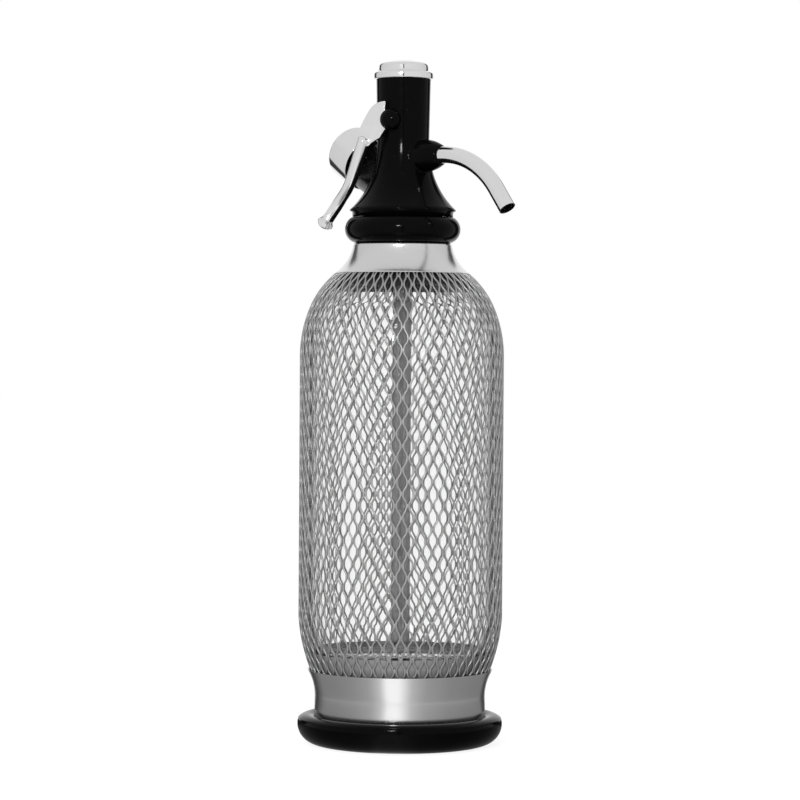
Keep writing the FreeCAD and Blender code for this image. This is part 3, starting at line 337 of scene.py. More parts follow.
# ---- outlines and meshes
def bowed(start: Point, end: Point, bulge: float, steps: int) -> list[Point]:
    """Points along an arc that bows to the right of its own direction.

    Args:
        start: The arc's first point, left out of the result.
        end: The arc's last point, the last of the result.
        bulge: How far the arc stands out from its chord, to the left with a minus.
        steps: How many points to give.

    Returns:
        The points after the start, in order.
    """
    if not bulge:
        return [end]
    chord = math.dist(start, end)
    radius = (chord * chord / 4 + bulge * bulge) / (2 * bulge)
    along = ((end[0] - start[0]) / chord, (end[1] - start[1]) / chord)
    right = (along[1], -along[0])
    middle = ((start[0] + end[0]) / 2, (start[1] + end[1]) / 2)
    centre = (middle[0] + right[0] * (bulge - radius), middle[1] + right[1] * (bulge - radius))
    first = math.atan2(start[1] - centre[1], start[0] - centre[0])
    last = math.atan2(end[1] - centre[1], end[0] - centre[0])
    sweep = (last - first + math.pi) % (2 * math.pi) - math.pi
    size = abs(radius)
    return [
        (centre[0] + size * math.cos(first + sweep * step / steps),
         centre[1] + size * math.sin(first + sweep * step / steps))
        for step in range(1, steps + 1)
    ]


@dataclass
class Outline:
    """An outline of (radius, height) points in millimetres, grown by straight and bowed edges.

    Attributes:
        points: The points so far.
        steps: How many points a bowed edge gets.
    """

    points: list[Point]
    steps: int = 14

    def to(self, radius: float, height: float, bulge: float = 0.0) -> "Outline":
        """Add an edge that ends at a point.

        Args:
            radius: Distance of the end from the axis.
            height: Height of the end.
            bulge: How far the edge bows to the right of its direction.

        Returns:
            The same outline, for the next edge.
        """
        self.points += bowed(self.points[-1], (radius, height), bulge, self.steps)
        return self


def placed(name: str, data: bpy.types.ID) -> Piece:
    """Put a mesh, curve, lamp or camera in the scene, at the origin.

    Args:
        name: The object's name.
        data: What it holds.

    Returns:
        The object.
    """
    made = bpy.data.objects.new(name, data)
    bpy.context.scene.collection.objects.link(made)
    return made


def turned(name: str, outline: Outline, sides: int = 144, edge: float = 0.0) -> Piece:
    """Turn a closed outline round the frame's upright axis into a smooth closed mesh.

    Args:
        name: The piece's name.
        outline: The closed outline, walked so that the solid lies to the left going up the outside.
        sides: How many faces go round.
        edge: The width in millimetres of the small round on sharp edges.

    Returns:
        The new object, at the origin, with its shape in the mesh.
    """
    shape = bmesh.new()
    rows = []
    closed = math.dist(outline.points[0], outline.points[-1]) < SAME_POINT
    for radius, height in outline.points[:-1] if closed else outline.points:
        if radius < SAME_POINT:
            rows.append([shape.verts.new((0.0, 0.0, height * MM))])
            continue
        rows.append([
            shape.verts.new((radius * MM * math.cos(turn), radius * MM * math.sin(turn), height * MM))
            for turn in (2 * math.pi * side / sides for side in range(sides))
        ])
    for row, after in zip(rows, rows[1:] + rows[:1]):
        if len(row) == 1 and len(after) == 1:
            continue
        for side in range(sides):
            following = (side + 1) % sides
            corners = [row[side % len(row)], row[following % len(row)],
                       after[following % len(after)], after[side % len(after)]]
            ring = list(dict.fromkeys(corners))
            shape.faces.new(ring)
    bmesh.ops.recalc_face_normals(shape, faces=shape.faces)
    return shaped(name, shape, edge)


def shaped(name: str, shape: bmesh.types.BMesh, edge: float = 0.0) -> Piece:
    """Make a mesh an object at the origin, round its sharp edges and shade it smooth.

    Args:
        name: The piece's name.
        shape: The mesh, which is used up.
        edge: The width in millimetres of the round on sharp edges, or 0 for none.

    Returns:
        The new object.
    """
    mesh = bpy.data.meshes.new(name)
    shape.to_mesh(mesh)
    shape.free()
    piece = placed(name, mesh)
    if edge:
        bevel = piece.modifiers.new("edge", "BEVEL")
        bevel.width = edge * MM
        bevel.segments = 2
        bevel.limit_method = "ANGLE"
        bevel.angle_limit = BEVELLED_EDGE
        bevel.miter_outer = "MITER_ARC"
        settle(piece)
    piece.data.shade_smooth()
    piece.data.set_sharp_from_angle(angle=HARD_EDGE)
    return piece


def settle(piece: Piece) -> None:
    """Turn a piece with modifiers into its plain evaluated mesh.

    Args:
        piece: The piece, whose modifiers are removed.
    """
    evaluated = piece.evaluated_get(bpy.context.evaluated_depsgraph_get())
    mesh = bpy.data.meshes.new_from_object(evaluated)
    piece.modifiers.clear()
    piece.data = mesh
    mesh.name = piece.name


def finished(piece: Piece, finish: Finish, body: str, *nodes: str) -> Piece:
    """Give a piece its finish, let it ride on its body and stand for its nodes.

    Args:
        piece: The piece.
        finish: Its finish.
        body: The body that carries it.
        *nodes: The nodes that it stands for.

    Returns:
        The same piece.
    """
    piece.data.materials.clear()
    piece.data.materials.append(FINISHES[finish].material())
    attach(piece, body)
    if nodes:
        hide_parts(*nodes)
    LOG.info("%s: %d faces on %s", piece.name, len(piece.data.polygons), body)
    return piece


def smooth_copy(node: str, name: str) -> Piece:
    """A smooth-shaded copy of a solid whose form is already right.

    Args:
        node: The solid's name.
        name: The copy's name.

    Returns:
        The copy.
    """
    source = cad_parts[node]
    shape = bmesh.new()
    shape.from_mesh(source.data)
    shape.transform(source.matrix_world)
    bmesh.ops.remove_doubles(shape, verts=shape.verts, dist=MERGE_DISTANCE)
    bmesh.ops.recalc_face_normals(shape, faces=shape.faces)
    return shaped(name, shape)


# ---- levels shared by the assemblies
@dataclass(frozen=True)
class Levels:
    """The heights in millimetres at which the assemblies meet, and the shoulder of the glass and the jacket."""

    base_top: float = 13.5
    band_top: float = 36.5
    heel_top: float = 62.0
    shoulder: float = 190.0
    collar_foot: float = 230.3
    collar_top: float = 245.3
    ring_top: float = 257.5
    mouth: float = 263.0
    drop: float = 5.7
    drop_height: float = 25.6
    shoulder_bow: float = 1.43
    slope_bow: float = 1.02


LEVEL = Levels()


# ---- foot
@dataclass
class Foot:
    """The black foot ring and the bright band that stands in it. A bulge is an arc's height on its chord."""

    foot_radius: float = 40.2
    rim_radius: float = 49.8
    rim_drop: float = 0.8
    side_bulge: float = 4.0
    top_bulge: float = 1.3
    floor: float = 3.5
    band_radius: float = 41.9
    band_seat: float = 5.5
    shelf: float = 2.0
    waist_height: float = 10.5
    band_top_radius: float = 45.6
    flare: float = 0.9
    wall: float = 0.8

    def build(self) -> None:
        """Make the foot's pieces."""
        finished(self.ring(), Finish.BLACK_MOULDING, "bottle", "base_ring")
        finished(self.band(), Finish.BAND, "bottle", "base_band")

    def ring(self) -> Piece:
        """The foot: a shallow dish with a round side and a slightly domed top edge.

        Returns:
            The piece.
        """
        step = LEVEL.base_top - self.band_seat
        outline = Outline([(0.0, 0.0)], steps=24)
        outline.to(self.foot_radius, 0.0)
        outline.to(self.rim_radius, LEVEL.base_top - self.rim_drop, self.side_bulge)
        outline.to(self.band_radius, LEVEL.base_top, self.top_bulge).to(self.band_radius, step)
        outline.to(self.band_radius - self.shelf, step).to(self.band_radius - self.shelf, self.floor)
        outline.to(0.0, self.floor)
        return turned("foot_ring", outline, edge=0.15)

    def band(self) -> Piece:
        """The thin band, its waist in the foot and its top flared out to the jacket.

        Returns:
            The piece.
        """
        low, waist = LEVEL.base_top - self.band_seat, LEVEL.base_top + self.waist_height
        inner = self.band_radius - self.wall
        outline = Outline([(inner, low)])
        outline.to(self.band_radius, low).to(self.band_radius, waist)
        outline.to(self.band_top_radius, LEVEL.band_top, -self.flare)
        outline.to(self.band_top_radius - self.wall, LEVEL.band_top).to(inner, waist, self.flare)
        return turned("foot_band", outline, edge=0.12)


# ---- bottle
@dataclass
class Bottle:
    """The thick clear bottle. A bow is how far an arc stands out from its chord."""

    radius: float = 47.45
    wall: float = 3.6
    stand: float = 39.82
    shoulder_wall: float = 1.6
    floor: float = 3.4
    heel_radius: float = 34.5
    heel_side: float = 43.6
    heel_corner: float = 6.5
    top_side: float = 26.55
    neck_side: float = 19.0
    neck_radius: float = 16.0
    mouth_radius: float = 12.2
    blend: float = 3.0
    lip_gap: float = 1.8
    heel_bow: float = 1.7
    inner_heel_bow: float = 1.2
    inner_heel_in: float = 1.0
    heel_rise: float = 3.5
    side_bow: float = 0.6
    inner_drop: float = 0.6

    def build(self) -> None:
        """Make the bottle."""
        finished(self.glass(), Finish.GLASS, "bottle", "glass_bottle")

    def glass(self) -> Piece:
        """The bottle's outer and inner walls in one turned outline.

        Returns:
            The piece.
        """
        neck_foot = LEVEL.collar_top - self.lip_gap - self.blend
        drop_level = LEVEL.shoulder + LEVEL.drop_height
        inner, inner_floor = self.radius - self.wall, self.stand + self.floor
        outline = Outline([(0.0, self.stand)], steps=16)
        outline.to(self.heel_radius, self.stand)
        outline.to(self.heel_side, self.stand + self.heel_corner, self.heel_bow)
        outline.to(self.radius, LEVEL.heel_top, self.side_bow).to(self.radius, LEVEL.shoulder)
        outline.to(self.radius - LEVEL.drop, drop_level, LEVEL.shoulder_bow)
        outline.to(self.top_side, LEVEL.collar_foot, LEVEL.slope_bow)
        outline.to(self.neck_side, neck_foot, -self.side_bow)
        outline.to(self.neck_radius, neck_foot + self.blend, -self.side_bow)
        outline.to(self.neck_radius, LEVEL.mouth).to(self.mouth_radius, LEVEL.mouth)
        outline.to(self.mouth_radius, neck_foot + self.blend)
        outline.to(self.neck_side - self.wall, neck_foot, self.side_bow)
        outline.to(self.top_side - self.shoulder_wall, LEVEL.collar_foot - self.shoulder_wall, self.side_bow)
        outline.to(self.radius - LEVEL.drop - self.shoulder_wall, drop_level - self.inner_drop,
                   -LEVEL.slope_bow)
        outline.to(inner, LEVEL.shoulder, -LEVEL.shoulder_bow).to(inner, LEVEL.heel_top)
        outline.to(self.heel_side - self.wall, inner_floor + self.heel_rise, -self.side_bow)
        outline.to(self.heel_radius - self.inner_heel_in, inner_floor, -self.inner_heel_bow)
        outline.to(0.0, inner_floor)
        return turned("bottle_glass", outline, sides=192)


# ---- wire jacket
@dataclass
class WireJacket:
    """The jacket of wires that zigzag up the bottle and are bonded to their neighbours where they meet."""

    radius: float = 50.0
    foot_radius: float = 43.0
    heel_bulge: float = 1.25
    top_radius: float = 32.6
    tuck: float = 3.0
    end_in: float = 2.2
    end_up: float = 1.6
    cells: int = 52
    cell_height: float = 11.38
    wire_radius: float = 0.48
    bond_gap: float = 0.62
    bond_length: float = 2.6
    unevenness: float = 0.10
    seam_level: float = 192.8
    seam_turn: float = -47.6
    points_per_row: int = 6

    def build(self) -> None:
        """Make the wires in two halves, those that start at even and at odd columns, and their bonds."""
        meridian, length, seam = self.meridian()
        for side, name in ((0.0, "even"), (1.0, "odd")):
            piece = self.layer(f"jacket_wires_{name}", side, meridian, length, seam)
            finished(piece, Finish.WIRE, "bottle", "wire_jacket")
        bpy.data.objects.remove(meridian)

    def meridian(self) -> tuple[Piece, float, float]:
        """The line that the wires' crests follow from the foot to the collar.

        Returns:
            A curve in the XZ plane, outward along X, its length, and the length up to the seam's level.
        """
        outline = Outline([(self.foot_radius, LEVEL.band_top - self.tuck)], steps=20)
        outline.to(self.radius, LEVEL.heel_top, self.heel_bulge)
        before = list(outline.points)
        outline.to(self.radius, LEVEL.shoulder)
        outline.to(self.radius - LEVEL.drop, LEVEL.shoulder + LEVEL.drop_height, LEVEL.shoulder_bow)
        outline.to(self.top_radius, LEVEL.collar_foot, LEVEL.slope_bow)
        outline.to(self.top_radius - self.end_in, LEVEL.collar_foot + self.end_up)
        line = bpy.data.curves.new("jacket_meridian", "CURVE")
        line.dimensions = "3D"
        run = line.splines.new("POLY")
        run.points.add(len(outline.points) - 1)
        for place, (across, high) in zip(run.points, outline.points):
            place.co = (across * MM, 0.0, high * MM, 1.0)
        made = placed("jacket_meridian", line)
        length = sum(math.dist(a, b) for a, b in zip(outline.points, outline.points[1:]))
        seam = sum(math.dist(a, b) for a, b in zip(before, before[1:])) + self.seam_level - LEVEL.heel_top
        return made, length, seam

    def layer(self, name: str, side: float, meridian: Piece, length: float, seam: float) -> Piece:
        """Half of the wires, with the bonds at their outer sides.

        Args:
            name: The piece's name.
            side: 0 for the wires that start at even columns, 1 for odd.
            meridian: The line that they follow.
            length: Its length in millimetres.
            seam: The length up to the level where the even columns' bonds lie.

        Returns:
            The piece, as a plain mesh.
        """
        piece = placed(name, bpy.data.meshes.new(name))
        rows = 2.0 * length / self.cell_height
        tree = wire_tree()
        settings = {
            "Meridian": meridian, "Cells": self.cells, "Rows": rows,
            "Row Start": -2.0 * seam / self.cell_height,
            "Points": int(rows * self.points_per_row), "Wire Radius": self.wire_radius * MM,
            "Bond Gap": self.bond_gap * MM, "Bond Length": self.bond_length * MM, "Side": side,
            "Unevenness": self.unevenness * MM, "Turn": math.radians(self.seam_turn),
            "Finish": FINISHES[Finish.WIRE].material(),
        }
        modifier = piece.modifiers.new("wires", "NODES")
        modifier.node_group = tree
        for item in tree.interface.items_tree:
            if item.in_out == "INPUT" and item.name in settings:
                modifier[item.identifier] = settings[item.name]
        piece.update_tag()
        bpy.context.view_layer.update()
        settle(piece)
        return piece


# The sway: its noise's waves to the radian and to the metre, its fixed seed, and its reach.
SWAYS_ROUND, SWAYS_UP, SWAY_SEED, SWAY_REACH = 9.0, 70.0, 0.37, 10.0
WIRE_SIDES, LEAST_REACH = 6, 0.1
# A bond: its faces, how deep it sits in wire radii, and its sizes against the wire and the gap.
BOND_SIDES, BOND_RINGS, BOND_DEPTH, BOND_THICKNESS, BOND_OVERLAP = 6, 5, 1.25, 0.6, 1.15


class JacketTree(Tree):
    """The parts of the jacket's tree, which share the group's inputs and the meridian."""

    def __init__(self, group: bpy.types.NodeTree) -> None:
        """Read the group's inputs.

        Args:
            group: The group, with its interface made.
        """
        super().__init__(group)
        self.given: Sockets = self.add("NodeGroupInput").outputs
        info = self.feed("GeometryNodeObjectInfo", Object=self.given["Meridian"])
        self.line: Socket = info.outputs["Geometry"]
        self.half_pitch: Socket = self.math("DIVIDE", math.pi, self.given["Cells"])

    def counted(self, per_group: Socket) -> tuple[Socket, Socket]:
        """Split a point's index into its group's number and its own number in that group.

        Args:
            per_group: How many points make a group.

        Returns:
            The two numbers.
        """
        index = self.add("GeometryNodeInputIndex").outputs[0]
        group = self.math("FLOOR", self.math("DIVIDE", self.math("ADD", index, 0.5), per_group))
        return group, self.math("SUBTRACT", index, self.math("MULTIPLY", group, per_group))

    def on_meridian(self, share: Socket) -> tuple[Sockets, Socket]:
        """Find the place at a share of the meridian's length.

        Args:
            share: The share, from 0 at the foot to 1.

        Returns:
            The place's X, Y and Z, and the direction there.
        """
        sample = self.add("GeometryNodeSampleCurve", mode="FACTOR")
        self.feed(sample, Curves=self.line, Factor=share)
        place = self.feed("ShaderNodeSeparateXYZ", Vector=sample.outputs["Position"])
        return place.outputs, sample.outputs["Tangent"]

    def swayed(self, angle: Socket, radius: Socket, height: Socket) -> tuple[Socket, Socket]:
        """Move a place on the jacket a little round, as the wires' unevenness says there.

        Args:
            angle: The place's angle.
            radius: Its distance from the axis.
            height: Its height.

        Returns:
            The new angle and the new place.
        """
        seed = self.feed(
            "ShaderNodeCombineXYZ", X=self.math("MULTIPLY", angle, SWAYS_ROUND),
            Y=self.math("MULTIPLY", height, SWAYS_UP), Z=SWAY_SEED,
        )
        noise = self.feed("ShaderNodeTexNoise", Vector=seed.outputs[0], Scale=1.0, Detail=1.0)
        sway = self.math("MULTIPLY", self.math("SUBTRACT", noise.outputs["Fac"], 0.5),
                         self.math("MULTIPLY", self.given["Unevenness"], SWAY_REACH))
        turn = self.math("ADD", angle, self.math("DIVIDE", sway, radius))
        spot = self.feed(
            "ShaderNodeCombineXYZ", X=self.math("MULTIPLY", radius, self.math("COSINE", turn)),
            Y=self.math("MULTIPLY", radius, self.math("SINE", turn)), Z=height,
        )
        return turn, spot.outputs[0]

    def soft(self, shape: Socket) -> Socket:
        """Shade a shape smooth.

        Args:
            shape: The shape.

        Returns:
            The shaded shape.
        """
        shaded = self.add("GeometryNodeSetShadeSmooth")
        self.link(shape, shaded.inputs[0])
        return shaded.outputs[0]

    def wires(self) -> Socket:
        """Lay the zigzag wires.

        Returns:
            The wires' geometry.
        """
        given = self.given
        wire, step = self.counted(given["Points"])
        share = self.math("DIVIDE", step, self.math("SUBTRACT", given["Points"], 1.0))
        level = self.math("ADD", self.math("MULTIPLY", share, given["Rows"]), given["Row Start"])
        place, _ = self.on_meridian(share)
        radius = self.math("SUBTRACT", place["X"], given["Wire Radius"])
        half_cell = self.math("MULTIPLY", self.half_pitch, radius)
        reach = self.math("SUBTRACT", 1.0, self.math(
            "DIVIDE", self.math("MULTIPLY", given["Bond Gap"], 2.0), half_cell))
        hand = self.math("MULTIPLY_ADD", given["Side"], 2.0, -1.0)
        wave = self.math("MULTIPLY", self.math("COSINE", self.math("MULTIPLY", level, math.pi)), hand)
        # A wave with flatter crests, so that neighbours run side by side for longer.
        dwell = self.math("MULTIPLY_ADD", self.math("MULTIPLY", wave, wave), -0.5, 1.5)
        wave = self.math("MULTIPLY", wave, dwell)
        held = self.math("MAXIMUM", reach, LEAST_REACH)
        swing = self.math("MULTIPLY_ADD", self.math("MULTIPLY", wave, held), 0.5, 0.5)
        column = self.math("ADD", self.math("ADD", self.math("MULTIPLY", wire, 2.0), given["Side"]), swing)
        angle = self.math("ADD", self.math("MULTIPLY", column, self.half_pitch), given["Turn"])
        _, spot = self.swayed(angle, radius, place["Z"])
        count = self.math("MULTIPLY", given["Cells"], given["Points"])
        points = self.feed("GeometryNodePoints", Count=count, Position=spot)
        lines = self.feed("GeometryNodePointsToCurves", Points=points.outputs[0], Curve_Group_ID=wire)
        section = self.feed(
            "GeometryNodeCurvePrimitiveCircle", Resolution=WIRE_SIDES, Radius=given["Wire Radius"])
        bars = self.feed(
            "GeometryNodeCurveToMesh",
            Curve=lines.outputs[0], Profile_Curve=section.outputs[0], Fill_Caps=True,
        )
        return self.soft(bars.outputs[0])

    def bonds(self) -> Socket:
        """Set the small bonds between neighbouring wires at every second row.

        Returns:
            The bonds' geometry.
        """
        given = self.given
        row, column = self.counted(given["Cells"])
        first = self.math("MULTIPLY_ADD", self.math("CEIL", self.math("DIVIDE", self.math(
            "SUBTRACT", given["Row Start"], given["Side"]), 2.0)), 2.0, given["Side"])
        level = self.math("MULTIPLY_ADD", row, 2.0, first)
        share = self.math("DIVIDE", self.math("SUBTRACT", level, given["Row Start"]), given["Rows"])
        place, way = self.on_meridian(share)
        angle = self.math("ADD", self.math("MULTIPLY", self.math(
            "MULTIPLY_ADD", column, 2.0, given["Side"]), self.half_pitch), given["Turn"])
        inward = self.math("MULTIPLY", given["Wire Radius"], BOND_DEPTH)
        turn, spot = self.swayed(angle, self.math("SUBTRACT", place["X"], inward), place["Z"])
        rows = self.math("FLOOR", self.math("DIVIDE", given["Rows"], 2.0))
        count = self.math("MULTIPLY", rows, given["Cells"])
        points = self.feed("GeometryNodePoints", Count=count, Position=spot)
        ball = self.feed("GeometryNodeMeshUVSphere", Segments=BOND_SIDES, Rings=BOND_RINGS, Radius=1.0)
        size = self.feed(
            "ShaderNodeCombineXYZ", X=self.math("MULTIPLY", given["Wire Radius"], BOND_THICKNESS),
            Y=self.math("MULTIPLY", given["Bond Gap"], BOND_OVERLAP),
            Z=self.math("MULTIPLY", given["Bond Length"], 0.5),
        )
        slope = self.feed("ShaderNodeSeparateXYZ", Vector=way)
        lean = self.math("ARCTAN2", slope.outputs["X"], slope.outputs["Z"])
        facing = self.feed("ShaderNodeCombineXYZ", X=0.0, Y=lean, Z=turn)
        web = self.feed(
            "GeometryNodeInstanceOnPoints", Points=points.outputs[0], Instance=ball.outputs[0],
            Rotation=facing.outputs[0], Scale=size.outputs[0],
        )
        return self.soft(web.outputs[0])


def wire_tree() -> bpy.types.NodeTree:
    """The tree that lays zigzag wires round a meridian and bonds each to its neighbour at every second row.

    Returns:
        The node group.
    """
    existing = bpy.data.node_groups.get("jacket_wires")
    if existing:
        return existing
    group = bpy.data.node_groups.new("jacket_wires", "GeometryNodeTree")
    for name, kind in (
        ("Meridian", "Object"), ("Cells", "Int"), ("Rows", "Float"), ("Row Start", "Float"),
        ("Points", "Int"), ("Wire Radius", "Float"), ("Bond Gap", "Float"), ("Bond Length", "Float"),
        ("Side", "Float"), ("Unevenness", "Float"), ("Turn", "Float"), ("Finish", "Material"),
    ):
        group.interface.new_socket(name=name, in_out="INPUT", socket_type=f"NodeSocket{kind}")
    group.interface.new_socket(name="Geometry", in_out="OUTPUT", socket_type="NodeSocketGeometry")
    tree = JacketTree(group)
    laid = tree.wires()
    both = tree.add("GeometryNodeJoinGeometry")
    tree.link(tree.bonds(), both.inputs[0])
    tree.link(laid, both.inputs[0])
    real = tree.feed("GeometryNodeRealizeInstances", Geometry=both.outputs[0])
    dressed = tree.feed("GeometryNodeSetMaterial", Geometry=real.outputs[0], Material=tree.given["Finish"])
    result = tree.add("NodeGroupOutput")
    tree.link(dressed.outputs[0], result.inputs[0])
    return group


# ---- neck
@dataclass
class Neck:
    """The bright flared collar over the jacket's top and the black ring clamped on the neck."""

    collar_foot_radius: float = 32.8
    collar_top_radius: float = 24.3
    hollow: float = 1.45
    edge: float = 1.8
    wall: float = 0.8
    bottle_hole: float = 16.3
    ring_foot_radius: float = 23.8
    ring_lip_radius: float = 25.4
    ring_bulge: float = 3.7
    thread_radius: float = 19.4
    sleeve_hole: float = 16.05
    sleeve_gap: float = 0.3
    lip_bow: float = 0.5
    inner_lip_bow: float = 0.3

    def build(self) -> None:
        """Make the collar and the ring."""
        finished(self.collar(), Finish.BAND, "bottle", "neck_collar")
        finished(self.ring(), Finish.BLACK_MOULDING, "bottle", "neck_ring")

    def collar(self) -> Piece:
        """The collar, hollow-sided like a bell.

        Returns:
            The piece.
        """
        foot, top = LEVEL.collar_foot, LEVEL.collar_top
        shoulder, lip = top - self.edge, self.collar_top_radius - self.edge
        start = (self.collar_foot_radius - self.wall, foot)
        outline = Outline([start]).to(self.collar_foot_radius, foot)
        outline.to(self.collar_top_radius, shoulder, -self.hollow).to(lip, top, self.lip_bow)
        outline.to(self.bottle_hole, top).to(self.bottle_hole, top - self.wall).to(lip, top - self.wall)
        inside = (self.collar_top_radius - self.wall, shoulder - self.inner_lip_bow)
        outline.to(*inside, -self.inner_lip_bow).to(*start, self.hollow)
        return turned("neck_collar_shell", outline, edge=0.1)

    def ring(self) -> Piece:
        """The round-edged ring with the sleeve that the head screws on.

        Returns:
            The piece.
        """
        foot, top = LEVEL.collar_top, LEVEL.ring_top
        sleeve_top = LEVEL.mouth - self.sleeve_gap
        outline = Outline([(self.sleeve_hole, foot)], steps=24)
        outline.to(self.ring_foot_radius, foot).to(self.ring_lip_radius, top, self.ring_bulge)
        outline.to(self.thread_radius, top).to(self.thread_radius, sleeve_top)
        outline.to(self.sleeve_hole, sleeve_top)
        return turned("neck_ring_moulding", outline, edge=0.2)


# ---- head, lever and spout
@dataclass
class Head:
    """The moulded head with its spout, screws and caps, and the lever."""

    def build(self) -> None:
        """Make the head's pieces."""
        finished(smooth_copy("head_body", "head_moulding"), Finish.BLACK_MOULDING, "head", "head_body")
        finished(smooth_copy("spout_tube", "spout_pipe"), Finish.CHROME, "head", "spout_tube")
        for side in ("near", "far"):
            node = f"{side}_pivot_screw"
            finished(smooth_copy(node, f"{side}_screw"), Finish.BLACK_MOULDING, "head", node)
        finished(smooth_copy("top_cap", "top_screw_cap"), Finish.CHROME, "top_cap", "top_cap")
        finished(smooth_copy("charger_cap", "port_cap"), Finish.CHROME, "charger_cap", "charger_cap")
        finished(smooth_copy("lever", "press_lever"), Finish.CAST, "lever", "lever")


@dataclass
class Inside:
    """The solids that keep their own form and only take a finish."""

    finishes: dict[str, Finish] = field(default_factory=lambda: {
        "bottle_cup": Finish.CUP, "shoulder_ring": Finish.RUBBER, "riser_tube": Finish.TUBE,
        "tube_holder": Finish.NYLON, "head_gasket": Finish.RUBBER, "spout_seal": Finish.RUBBER,
        "valve_stem": Finish.STEEL, "stem_collar": Finish.BRASS, "valve_disc": Finish.RUBBER,
        "disc_nut": Finish.BRASS, "valve_seat": Finish.BRASS, "gland_bush": Finish.BRASS,
        "stem_seal": Finish.RUBBER, "stem_guide": Finish.NYLON, "valve_spring": Finish.STEEL,
        "charger_nipple": Finish.BRASS, "piercing_needle": Finish.STEEL, "charger_washer": Finish.RUBBER,
        "check_disc": Finish.RUBBER, "cap_seal": Finish.RUBBER,
    })

    def build(self) -> None:
        """Give each kept solid its finish."""
        for name, finish in self.finishes.items():
            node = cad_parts.get(name)
            if node is None:
                LOG.warning("no solid named %s", name)
                continue
            for slot in node.material_slots:
                slot.material = FINISHES[finish].material()
            if not node.material_slots:
                node.data.materials.append(FINISHES[finish].material())


